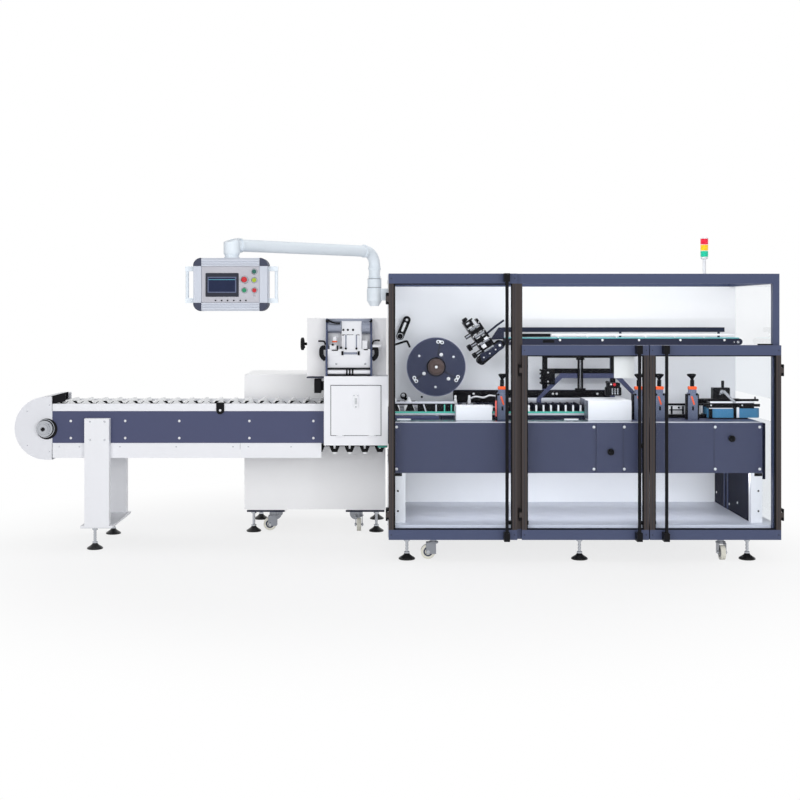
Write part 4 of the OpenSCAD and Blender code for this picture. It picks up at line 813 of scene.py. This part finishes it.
def makeFolder():
    ride = {"body": "access_hatch"}
    latch = np.vstack([arc((-206, 972), 17, 0, 180, 12), arc((-206, 912), 17, 180, 360, 12)])
    piece("hatchLatch", "whitePaint", [prism(latch, 217, 222.2)], bevel=1.5, **ride)
    marks = [bolt((x, 217, 978), 4, 2, 12) for x in (-217, -195)]
    marks += [bolt((-206, 217, 908), 5, 3, 12), block((-213, 214, 925), (-199, 217.5, 962), 2)]
    piece("hatchMarks", "steel", marks, **ride)
    piece("hatchSeal", "shadowGrey", border(-363, 238.4, 728, -49, 240.9, 1042, 3.5, 0.5))
    # the folder head: two cheeks with plates, rollers and dark parts between them
    cheeks = [prism(folderSet["cheek"], x, x + 12, "x") for x in (-396, -118)]
    piece("folderCheeks", "framePaint", cheeks, stands=("folder_head",), bevel=2)
    piece("folderPlates", "whitePaint", blocks(folderSet["plates"]) + [roller((-384, 300, 1120), "x", 266, 14, 2)])
    grey = [roller((-384, 344, 1398), "x", 86, 36, 2, 36), roller((-172, 344, 1398), "x", 54, 42, 2, 36),
            roller((-284, 302, 1236), "x", 84, 7, 1), block((-384, 314, 1437), (-118, 318, 1452), 1)]
    t = np.linspace(0.1, 1.5, 9)
    curl = np.stack([322 + 26 * (1 - np.cos(t)), 1428 + 24 * np.sin(t)], -1)  # part of an ellipse
    grey.append(prism(np.vstack([curl, curl[::-1] + np.array([6, -4])]), -384, -118, "x"))
    grey += [roller((x, 306, 1268), "z", 84, 4, 1, 14) for x in (-270, -204)]
    piece("folderRollers", "rollerGrey", grey)
    dark = blocks(folderSet["dark"]) + [tube(smoothPath(path, 14), 5.5) for path in folderSet["pipes"]]
    dark += [turned([(7, 0), (7, -3), (4, -4)], (x, 318, 1382), "d", 20) for x in (-286, -258, -226)]
    dark += [roller((x, 298, z), "d", 12, 7, 1, 18) for x, z in folderSet["studs"]]
    for side, x in ((-1, -397), (1, -105)):  # curved brackets outside the cheeks
        bow = [(u, 312, z) for u, z in shifted(folderSet["bow"], x, side)]
        dark.append(sweep(smoothPath(bow, 18), [(-4, -14), (4, -14), (4, 14), (-4, 14)]))
    dark.append(sweep(smoothPath(folderSet["strap"], 12), [(-4, -5), (4, -5), (4, 5), (-4, 5)]))
    piece("folderDark", "blackMetal", dark)
    piece("folderSpring", "orangePlastic", [turned([(15, 0), (17, 3), (17, 7), (14, 9)], (-340, 312, 1305), "z", 28)])
    spool = turned([(14, 0), (14, 24), (11, 28)], (-340, 312, 1313), "z", 28)
    piece("folderSpool", "whitePaint", [spool, block((-104, 300, 1274), (-48, 306, 1290), 2)])
    piece("folderScrews", "steel", [bolt((x, 306, 1170), 7, 4, 14) for x in (-330, -150)])
    knob = turned(folderSet["knob"], (-519, 510, 1290), "x", 36)
    piece("folderKnob", "blackPlastic", [knob, roller((-545, 465, 1270), "d", 30, 10, 2)])
    # cabinet: door seams and louvres at its back
    seams = border(-930, 1599.4, 196, -72, 1601.2, 1033, 3, 0.5)
    piece("cabinetSeams", "shadowGrey", seams + [block((-502.5, 1599.4, 196), (-499.5, 1601.2, 1033), 0.5)])
    louvres = [block((x, 1599, z), (x + 200, 1606, z + 7), 3) for x in (-820, -380) for z in range(800, 960, 20)]
    piece("cabinetLouvres", "whitePaint", louvres)
    plain(folderPlain)


makeFolder()
print("folder and cabinet made")


# rear wall and left side: sheet joints, screws and louvres
rearSet = {
    "face": 1050, "joints": (780, 1564), "columns": (40, 410, 740, 820, 1172, 1524, 1604, 1960, 2312),
    "rows": (165, 910, 1630), "louvres": (1780, 2140), "louvreRows": range(300, 520, 22),
    "side": -8, "sideDepths": (330, 660, 1010), "sideRows": (165, 560, 1690),
}


def makeRear():
    f = rearSet["face"]
    joints = [block((x - 1.5, f - 0.6, 132), (x + 1.5, f + 1.2, 1660), 0.4) for x in rearSet["joints"]]
    piece("rearJoints", "shadowGrey", joints)
    screws = [bolt((x, f, z), 6, 3, 14, out=1) for x in rearSet["columns"] for z in rearSet["rows"]]
    side = [(rearSet["side"], d, z) for d in rearSet["sideDepths"] for z in rearSet["sideRows"]]
    screws += [bolt(at, 6, 3, 14, "x") for at in side]
    piece("rearScrews", "steel", screws)
    # each louvre is a slanted hood: its lower lip stands out, its upper edge lies on the wall
    hoods = [prism([(f - 0.5, z), (f + 6, z - 2), (f + 6.5, z + 1), (f - 0.5, z + 11)], *rearSet["louvres"], "x")
             for z in rearSet["louvreRows"]]
    piece("rearLouvres", "whitePaint", hoods, bevel=0.8)


makeRear()
print("rear made")


# doors: seals round the panes, grooves and screws on the stiles, latches at the sills
doorSet = {"left_door": (-4, 768, 1725), "middle_door": (796, 1558, 1294), "right_door": (1564, 2352, 1294)}


def makeDoors():
    for name, (x0, x1, top) in doorSet.items():
        stiles = (x0, x1 - 30)
        seal = [part for d0, d1 in ((7.5, 11.8), (18.2, 22.5))
                for part in border(x0 + 30, d0, 186, x1 - 30, d1, top - 60, 7, 1.5)]
        piece(name + "Seal", "blackPlastic", seal, name)
        grooves = [block((x + 13, -0.8, 190), (x + 17, 0.6, top - 64), 0.4) for x in stiles]
        piece(name + "Groove", "shadowGrey", grooves, name)
        screws = [bolt((x + 15, -0.5, z), 3.5, 2, 12) for x in stiles for z in (156, top - 30)]
        piece(name + "Screws", "shadowGrey", screws, name)
    latches = [block((x, 80, 205), (x + 19, 100, 228), 3) for x in (724, 826, 1515, 1600)]
    piece("sillLatches", "blackPlastic", latches)


# table front, bolts and knobs
tableSet = {
    "front": 150, "bolts": (45, 1252, 1438, 1994, 2266), "rows": (790, 533), "seams": (1259, 1431, 1987),
    "knobs": ((1353, 639, 21), (1546, 677, 15), (2092, 721, 21)),
    "ribs": (98.5, 2205.5), "dots": ((448, 283), (640, 246), (680, 252), (961, 278)),
}
tablePlain = {
    "tableTrim": ("trimPaint", (29, 148.6, 816, 2282, 162, 822, 1.2)),
    "tableSheet": ("sheetSteel", (40, 164, 818.8, 1500, 443, 820.2, 0.5)),
    "tableTabs": ("whitePaint", (49, 300, 820, 135, 326, 827, 1.5), (1094, 300, 820, 1180, 326, 827, 1.5)),
    "tableEnd": ("sidePaint", (2281.5, 156, 470, 2303, 420, 813, 2)),
    "postCaps": ("blackMetal", (30, 148.8, 490, 78, 150.6, 508.6, 0.6), (2233, 148.8, 490, 2281, 150.6, 508.6, 0.6)),
}


def makeTable():
    f = tableSet["front"]
    piece("tableBolts", "boltWhite", [bolt((x, f, z), 9, 5) for x in tableSet["bolts"] for z in tableSet["rows"]])
    knobs = [turned([(r * 0.5, 0), (r * 0.5, -8), (r, -10), (r, -22), (r - 3, -25), (4, -26)], (x, f, z), "d", 10)
             for x, z, r in tableSet["knobs"]]
    piece("tableKnobs", "blackPlastic", knobs)
    ribs = [block((x, d, 206), (x + 7, d + 12, 508), 1) for x in tableSet["ribs"] for d in (668, 746)]
    piece("plateRibs", "framePaint", ribs)
    dots = [bolt((x, d, z), 8, 4, 14, "x", out) for x, out in ((99, 1), (2212, -1)) for d, z in tableSet["dots"]]
    piece("plateDots", "boltWhite", dots)
    seams = [block((x - 1.2, f - 0.8, 511), (x + 1.2, f + 0.4, 815), 0.3) for x in tableSet["seams"]]
    piece("tableSeams", "shadowGrey", seams)
    piece("postScrews", "blackPlastic", [bolt((x, f, z), 6, 3, 14) for x in (53, 2258) for z in (399, 276)])
    plain(tablePlain)


# carton track: guide strip, silver rails with their posts, the fence behind and what stands on it
trackPlain = {
    "guideStrip": ("beltGreen", (-2, 447, 851, 1746, 451, 862, 1)),
    "guideRail": ("trimPaint", (-2, 444, 838, 1746, 452, 850, 1), (428, 791.5, 893, 1464, 794.6, 926, 0.8)),
    "trackPosts": ("beltGreen", (348, 447, 860, 356, 450.8, 906, 1), (391, 447, 860, 399, 450.8, 906, 1)),
    # the second dark block is a black sheet behind the track posts, painted shade in the cells between them
    "innerLineAndShade": ("blackMetal", (-2, 451.4, 903, 412, 456, 912, 1), (181, 450.6, 853, 412, 453.4, 905, 0.8)),
    "lugBeam": ("platePaint", (565, 764.5, 872, 1236, 792, 894, 1)),
    "fenceShade": ("blackMetal", (425, 790.6, 893, 716, 792, 927, 0.4)),
    "fenceCover": ("blackMetal", (425, 792.4, 926, 1465, 794.8, 977, 0.8)),
}
trackSet = {
    "studs": range(360, 1740, 94), "fenceStuds": (560, 1085, 1110, 1380),
    "inner": ((-2, 452, 911, 412, 457, 925, 1.2), (294, 447, 860, 303, 450.8, 906, 1)),
    "plug": ((11, 0), (11, 26), (8, 30), (8, 52), (5, 56)),
    "pipe": ((520, 620, 930), (560, 600, 946), (610, 600, 940), (650, 620, 952), (690, 640, 948), (722, 700, 950),
             (730, 793, 950)),
}


def makeTrack():
    plain(trackPlain)
    leaning = tilted(block((222, 447, 858), (231, 450.8, 908), 1), (226, 448, 884), 18)
    piece("innerRail", "trimPaint", blocks(trackSet["inner"]) + [leaning])
    studs = [bolt((x, 460, 833), 5, 3, 12) for x in trackSet["studs"]]
    studs += [bolt((x, 792.4, 952), 8, 5, 14) for x in trackSet["fenceStuds"]]
    piece("trackStuds", "boltWhite", studs, slot="steel")
    knob = [turned([(22, 0), (22, -14), (18, -18)], (100, 1010, 925)), bolt((224, 1010, 917), 8, 4)]
    piece("wallKnob", "blackMetal", knob + [block((104, 1000, 896), (128, 1010.5, 912), 3)])
    piece("wallKnobCap", "boltWhite", [bolt((97, 992.5, 929), 13, 6)])
    plugs = [turned(trackSet["plug"], (x, 620, 898), "z", 20) for x in (430, 520)]
    piece("trackPlugs", "boltWhite", plugs + [tube(smoothPath(trackSet["pipe"], 36), 6)])


# reel: hub cap, bolts and clips that turn with it; places are (radius, angle)
reelSet = {
    "x": 307, "z": 1136, "front": 660,
    "hub": ((54.5, 2), (54.5, -22), (52, -25), (44, -26), (42, -29), (20, -30), (18, -27), (3, -26.5)),
    "bolts": ((86, 67), (90, 209), (112, 316)), "screws": ((131, 147), (131, 30), (131, 268)),
    "clips": ((168, 81), (163, 211), (160, 331)),
}


def makeReel():
    x, z, f = (reelSet[k] for k in ("x", "z", "front"))
    ride = {"body": "reel"}

    def around(r, a):
        return x + r * math.cos(math.radians(a)), f, z + r * math.sin(math.radians(a))

    piece("reelHub", "hubBrown", [turned(reelSet["hub"], (x, f, z), "d", 48)], **ride)
    piece("hubRing", "blackMetal", [ring((x, f - 4, z), "d", 54.5, 63, 7)], **ride)
    white = [hexHead((x, f - 27, z), "d", 10, 6)] + [bolt(around(*at), 12, 6) for at in reelSet["bolts"]]
    piece("reelBolts", "boltWhite", white + [bolt(around(*at), 8, 4, 14) for at in reelSet["screws"]], **ride)
    clips, cores, slots = [], [], []
    for r, a in reelSet["clips"]:
        at = np.array(around(r, a))
        clips.append(tilted(block(at - (20, 14, 7), at + (20, 0, 7), 3), at, a - 90))
        for side in (-1, 1):
            at = around(r - 4, a + side * 4.5)
            clips.append(turned([(12, 0), (12, -15), (10, -17)], at, "d", 24))
            cores.append(turned([(6, -16), (6, -19), (4, -20)], at, "d", 18))
        at = np.array(around(r - 52, a))
        slots.append(tilted(block(at - (40, 0.9, 5), at + (40, 0.6, 5), 0.4), at, a))
    piece("reelClips", "lugWhite", clips, **ride)
    piece("clipCores", "blackPlastic", cores, **ride)
    piece("reelSlots", "shadowGrey", slots, **ride)
    # painted highlight: a thin pale ring along the rim of the dark reel
    piece("reelRimHighlight", "litReelPaint", [ring((x, f - 1, z), "d", 188, 191.6, 2.2, 96)], **ride)


# label head and tension arm
labelSet = {
    "head": (603, 640, 1175), "tilt": 34,
    "rolls": ((40, 10), (92, 8), (150, 11), (206, 8)), "knurls": ((55, 17), (115, 20)),
    "bar": ((-2, 660, 1268), (36, 660, 1280), (80, 660, 1294), (114, 660, 1303), (124, 660, 1290), (136, 660, 1263)),
    "dark": ((50, 636, 112, 80, 690, 134, 3), (90, 636, 58, 120, 690, 82, 3), (50, 636, 176, 80, 690, 196, 3),
             (90, 636, 168, 120, 690, 194, 3), (50, 640, 226, 80, 690, 246, 3), (20, 640, 10, 60, 690, 30, 3),
             (40, 650, 258, 104, 672, 268, 3)),
    "pale": ((52, 634, 136, 80, 642, 148, 2), (92, 634, 88, 118, 642, 116, 2), (92, 634, 198, 118, 642, 214, 2),
             (52, 634, 198, 80, 642, 208, 2), (52, 634, 60, 80, 642, 84, 2)),
    "knob": ((6, 0), (6, 8), (17, 10), (18, 14), (18, 28), (14, 32)),
    "cheek": ((0, -6), (166, -10), (176, 40), (12, 44)),
    "rod": ((640, 700, 1352), (700, 700, 1402), (752, 700, 1440)),
    "foot": ((662, 1312), (752, 1316), (752, 1392), (716, 1392)),
}


def makeLabel():
    head = labelSet["head"]

    def leant(parts):
        # local x runs along the boom and local height across it
        shift = np.array([head[0], 0, head[2]])
        return [tilted((pts + shift, faces), head, labelSet["tilt"]) for pts, faces in parts]

    piece("swingRoller", "lugWhite", [turned([(19, 0), (21, 3), (21, 20), (18, 24)], (76, 926, 1330))])
    groove = prism(np.vstack([arc((91, 1368), 8, 180, 360, 8), arc((91, 1420), 8, 0, 180, 8)]), 947.6, 949.8)
    piece("swingSlot", "boltWhite", [tilted(groove, (91, 948, 1368), -22), bolt((121, 949.5, 1440), 9, 5)])
    piece("tensionBar", "blackMetal", [tube(smoothPath(labelSet["bar"], 26), 7)])
    rolls = [roller((48, 638, z), "x", 72, r, 1.5, 24) for z, r in labelSet["rolls"]]
    rolls += [roller((-2, 652, z), "x", 40, 7, 1, 20) for z in (55, 115, 181)]
    piece("labelRollers", "chrome", leant(rolls))
    dark = blocks(labelSet["dark"]) + [turned(labelSet["knob"], (58, 660, 262), "z", 20)]
    for z, r in labelSet["knurls"]:  # the radius sways sixteen times round the rim
        turn = circle(64)
        radius = np.array([[0.5, 0.95, 1, 1, 0.95, 0.4]]).T * r * (1 + 0.05 * np.cos(16 * turn))
        along = np.array([[-32, -30, -27, -8, -4, -2]]).T
        grid = toAxis(radius * np.cos(turn), radius * np.sin(turn), along, "x")
        dark.append(gridPart(grid + np.array([0, 655, z])))
    piece("labelDark", "blackMetal", leant(dark))
    heads = [bolt((x, 646, z), 5, 4, 12) for x in (43, 85, 125) for z in (30, 100, 160, 220)]
    piece("labelPlates", "boltWhite", leant(blocks(labelSet["pale"]) + heads))
    # dark side plate of the boom, with its bolts
    piece("boomCheek", "platePaint", leant([prism(labelSet["cheek"], 632, 639.8)]), bevel=2)
    heads = [bolt((154, 632, 20), 9, 5)] + [bolt((x, 632, 12), 5, 3, 12) for x in (24, 70, 116)]
    piece("boomBolts", "boltWhite", leant(heads))
    piece("boomStay", "platePaint", [tube(labelSet["rod"], 7), prism(labelSet["foot"], 690, 700)], bevel=1)


# upper conveyor
conveyorPlain = {
    "conveyorBelt": ("beltTeal", (760, 652, 1320, 2280, 788, 1327, 2)),
    "conveyorSlab": ("blackMetal", (857, 650, 1331, 1052, 700, 1352, 3), (1000, 638.4, 1294, 1075, 640.8, 1312, 0.8)),
    "beamBar": ("blackMetal", (2225, 40, 1294, 2350, 60, 1302, 1.5)),
}
conveyorSet = {
    "bolts": (1111, 1387, 1625, 1894, 2180), "pins": range(1100, 2240, 190),
    "shafts": ((2267, 632, 1298, 10, 8.6), (2242, 633, 1298, 8, 5), (790, 632, 1302, 10, 8)),
}


def makeConveyor():
    piece("conveyorBolts", "boltWhite", [bolt((x, 640, 1311)) for x in conveyorSet["bolts"]])
    piece("conveyorShafts", "chrome", [roller(row[:3], "d", *row[3:]) for row in conveyorSet["shafts"]])
    pins = [roller((x, 648, 1326), "z", 16, 4, 0.8, 14) for x in conveyorSet["pins"]]
    piece("conveyorGuide", "whitePaint", [block((1060, 646, 1340), (2240, 650, 1352), 1)] + pins)
    plain(conveyorPlain)


# gantry over the track
gantryPlain = {
    "boxLid": ("whitePaint", (1240, 440, 934, 1506, 622, 941, 2)),
    # painted shade: the flange on the box's left face is grey where that face stands in shade
    "shadedBoxFlange": ("rollerGrey", (1237, 440, 904, 1240.5, 622, 941, 1), (1237.6, 282, 824, 1239.4, 438, 938, 0.6)),
    "placard": ("placard", (1362, 77, 1093, 1485, 80, 1260, 0.8)),
}
gantrySet = {
    "dark": ((1004, 770, 1015, 1096, 789.5, 1113, 4), (1382, 420, 964, 1462, 480, 1046, 6),
             (1372, 424, 964, 1472, 476, 1018, 8), (1238, 778, 1176, 1292, 794, 1204, 3),
             (1230, 778, 968, 1300, 794, 990, 3), (1015, 792, 985, 1049, 794.8, 1206, 1),
             (1465, 792, 985, 1499, 794.8, 1206, 1), (1048, 796.5, 1086, 1466, 798.8, 1119.5, 0.8),
             (1048, 796.5, 1189.5, 1466, 798.8, 1204.5, 0.8)),
    "lugs": (1020, 1050, 1080, 1104), "fingers": (1408, 1425, 1442),
    "bolts": ((1050, 770, 1034), (1050, 770, 1094), (1404, 419, 1036)),
}


def makeGantry():
    dark = blocks(gantrySet["dark"]) + [roller((1440, 478, 1030), "d", 312, 9)]
    dark += [block((996, 774, z), (1006, 790, z + 12), 2) for z in gantrySet["lugs"]]
    piece("gantryDark", "blackMetal", dark)
    fingers = [block((x, 416, 972), (x + 9, 421, 1012), 2) for x in gantrySet["fingers"]]
    piece("gripperFingers", "chrome", fingers)
    piece("gantryRods", "blackMetal", [roller((x, 784, 978), "z", 220, 7) for x in (1253, 1277)])
    piece("rodShine", "chrome", [roller((1265, 783, 990), "z", 190, 4, 1, 14)])
    piece("gripperDot", "redPlastic", [bolt((1426, 419, 1034), 10, 5)])
    piece("gantryBolts", "boltWhite", [bolt(at, 6, 4, 12) for at in gantrySet["bolts"]])
    plain(gantryPlain)


# four adjusters, each a slotted post with a counter and a knob
adjusterSet = {
    "x": (709, 1567, 1696, 1903), "front": 340, "middle": 360, "back": 380, "base": 819, "half": 39.5,
    "wings": ((8, 0, 0), (10, 6, 0.2), (16, 14, 0.6), (30, 26, 1), (33, 32, 1), (32, 37, 1), (22, 39.5, 0.8)),
}


def makeAdjusters():
    f, mid, b, z0, w = (adjusterSet[k] for k in ("front", "middle", "back", "base", "half"))
    faces, dark, marks, screws = [], [], [], []
    radius, high, blend = np.array(adjusterSet["wings"]).T[:, :, None]
    turn = circle(72)
    for k, x in enumerate(adjusterSet["x"]):
        faces += blocks([(x - w + 9, f, z0, x + w - 9, b, z0 + 168, 2),
                         (x - 24, f + 4, z0 + 166, x + 24, b - 4, z0 + 189, 3)])
        for s in (-1, 1):
            edge = x + s * (w - 5)
            dark.append(block((edge - 5, f + 3, z0), (edge + 5, b + 4, z0 + 160), 2))
            screws.append(turned([(7, 1), (7, -3), (3, -4)], (x + s * 24, f, z0 + 158), "d", 14))
        dark.append(block((x - 5, f - 1.2, z0 + 58), (x + 7, f + 1, z0 + 84), 2))
        dark.append(roller((x, mid, z0 + 207), "z", 42, 13, 1.5))
        marks.append(block((x - 26, f + 2, z0 + 188), (x + 26, b - 2, z0 + 208), 5))
        marks.append(tilted(block((x - 5, f - 3, z0 + 92), (x + 5, f + 1, z0 + 148), 2), (x, f, z0 + 120), 18))
        # three wings that spread with the height: a cosine of three times the angle, blended in
        shape = radius * (1 - blend + blend * (0.72 + 0.28 * np.cos(3 * turn + 0.5 + k)))
        grid = toAxis(shape * np.cos(turn), shape * np.sin(turn), high, "z")
        dark.append(gridPart(grid + np.array([x, mid, z0 + 248])))
    piece("adjusterFaces", "adjusterGrey", faces, stands=("adjusters",))
    piece("adjusterDark", "blackMetal", dark)
    piece("adjusterCounters", "orangePlastic", marks)
    piece("adjusterScrews", "blackPlastic", screws)
    piece("adjusterScale", "pinkScale", [block((664, f - 2, z0 + 20), (674, f + 4, z0 + 120), 1)])


# outfeed: drum, layered plates, motor
outfeedSet = {
    "drum": (2088, 430), "drumRadius": 78, "drumFlat": 0.54, "louvres": range(944, 1008, 10),
    "pale": ((2024, 392.5, 919, 2300, 394.6, 930, 0.8), (2190, 386, 827, 2206, 389.6, 893, 1.2),
             (2016, 389, 884, 2166, 393, 889, 1)),
    "dark": ((2170, 384, 827, 2187, 390, 893, 1.5), (2150, 392, 931, 2330, 412, 945, 2),
             (1985, 396, 896, 2340, 404, 914, 2), (1990, 398, 930, 2060, 408, 944, 2)),
    "link": ((1750, 478, 898, 2062, 490, 911, 1.5), (1750, 470, 819, 2020, 500, 842, 2),
             (1786, 482, 866, 1872, 484.5, 873, 0.6), (1796, 482.5, 843, 1808, 484.5, 894, 0.6),
             (1868, 482.5, 843, 1880, 484.5, 894, 0.6)),
    "lever": ((2098, 992), (2114, 1002), (2188, 926), (2172, 918)),
}


def makeOutfeed():
    (x, d), r = outfeedSet["drum"], outfeedSet["drumRadius"]
    bow = np.vstack([arc((x, d), r, 180, 270, 16), [(x + r, d - 41.9), (x + r, d)]])
    bow[:, 1] = d - (d - bow[:, 1]) * outfeedSet["drumFlat"]  # flattened bow of the front belt
    piece("outDrum", "beltBlue", [prism(bow, 826.5, 884, "z")], bevel=2)
    piece("outPale", "whitePaint", blocks(outfeedSet["pale"]) + [bolt((x, 393, 905), 5, 4, 12) for x in (2030, 2226)])
    dark = blocks(outfeedSet["dark"])
    dark += [block((2043, 398.5, z), (2153, 401, z + 3), 0.8) for z in outfeedSet["louvres"]]
    dark += [roller((2108, 412, 1014), "z", 46, 9, 1.5), roller((2310, 402, 945), "z", 14, 5, 1, 14)]
    piece("outDark", "blackMetal", dark)
    piece("outLink", "blackMetal", blocks(outfeedSet["link"]) + [bolt((1848, 484, 884), 7, 4, 14)])
    piece("outLinkPlate", "boltWhite", [block((1752, 484, 838), (1990, 492, 902), 1)])
    pivot = [turned([(14, 0), (14, -6), (10, -8)], (2098, 394, 990), "d", 24), bolt((2086, 393, 975), 7, 5)]
    piece("outLever", "chrome", [prism(outfeedSet["lever"], 388, 394)] + pivot, bevel=1)


makeDoors()
makeTable()
makeTrack()
makeReel()
makeLabel()
makeConveyor()
makeGantry()
makeAdjusters()
makeOutfeed()
print("doors, table, track, reel, label head, gantry, adjusters and outfeed made")


# stage: a pale floor that fades to white, a white world and six soft lamps
stageSet = {
    "floor": 60.0, "world": 0.4, "fade": (1.6, 3.4, 0.76, 1.0),
    "lamps": {  # place, aim, width, depth, power
        "keyLamp": ((-2.4, -7.6, 2.8), (-0.3, 0.2, 0.9), 4.0, 3.0, 184.0),
        "fillLamp": ((2.2, -8.0, 1.5), (0.6, 0.2, 0.8), 4.0, 2.4, 182.0),
        "topLamp": ((0.8, 0.6, 4.6), (0.8, 0.5, 0.0), 4.0, 2.0, 66.0),
        "lowLamp": ((1.15, doorY + 0.16, 0.49), (1.15, doorY + 1.0, 0.38), 2.1, 0.05, 5.6),
        "midLamp": ((1.15, doorY + 0.09, 1.215), (1.15, doorY + 1.0, 0.98), 2.1, 0.05, 3.0),
        "innerLamp": ((1.15, doorY + 0.09, 1.7), (1.15, doorY + 1.0, 1.1), 2.1, 0.05, 3.0),
    },
}


def seenRay(tree):
    # 1 for a ray from the camera, off a shiny surface or through a clear one
    path = newNode(tree, "LightPath").outputs
    seen = mathNode(tree, "MAXIMUM", path["Is Camera Ray"], path["Is Glossy Ray"])
    return mathNode(tree, "MAXIMUM", seen, path["Is Transmission Ray"])


def makeStage():
    scene = bpy.context.scene
    scene.view_settings.view_transform = "Standard"
    world = bpy.data.worlds.new("studio")
    scene.world = world
    world.use_nodes = True
    tree = world.node_tree
    soft = tree.nodes["Background"]
    setInputs(soft.inputs, {"Color": (0.97, 0.98, 1.0, 1), "Strength": stageSet["world"]})
    white = newNode(tree, "Background", [(1, 1, 1, 1)]).outputs[0]
    mixShaders(tree, seenRay(tree), soft.outputs[0], white, "World Output")

    mesh = bpy.data.meshes.new("floor")
    s = stageSet["floor"]
    mesh.from_pydata([(-s, -s, 0), (s, -s, 0), (s, s, 0), (-s, s, 0)], [], [(0, 1, 2, 3)])
    floor = bpy.data.objects.new("floor", mesh)
    scene.collection.objects.link(floor)
    tree, shader, where = bareFinish("paleFloor")
    setInputs(shader, {"Base Color": (0.9, 0.9, 0.91, 1), "Roughness": 0.8, "Specular IOR Level": 0.1})
    share = rangeNode(tree, vectorNode(tree, "LENGTH", where)["Value"], *stageSet["fade"])
    share = mathNode(tree, "MULTIPLY", seenRay(tree), share)
    white = newNode(tree, "Emission").outputs[0]
    mixShaders(tree, share, tree.nodes["Principled BSDF"].outputs[0], white)
    mesh.materials.append(finishes["paleFloor"])

    for name, (place, aim, size, deep, power) in stageSet["lamps"].items():
        lamp = bpy.data.lights.new(name, "AREA")
        lamp.shape = "RECTANGLE"
        lamp.size, lamp.size_y, lamp.energy = size, deep, power
        held = bpy.data.objects.new(name, lamp)
        held.location = place
        held.rotation_euler = Vector(np.array(aim) - np.array(place)).to_track_quat("-Z", "Y").to_euler()
        held.visible_camera = held.visible_glossy = held.visible_transmission = False
        scene.collection.objects.link(held)


makeStage()
print("stage made")
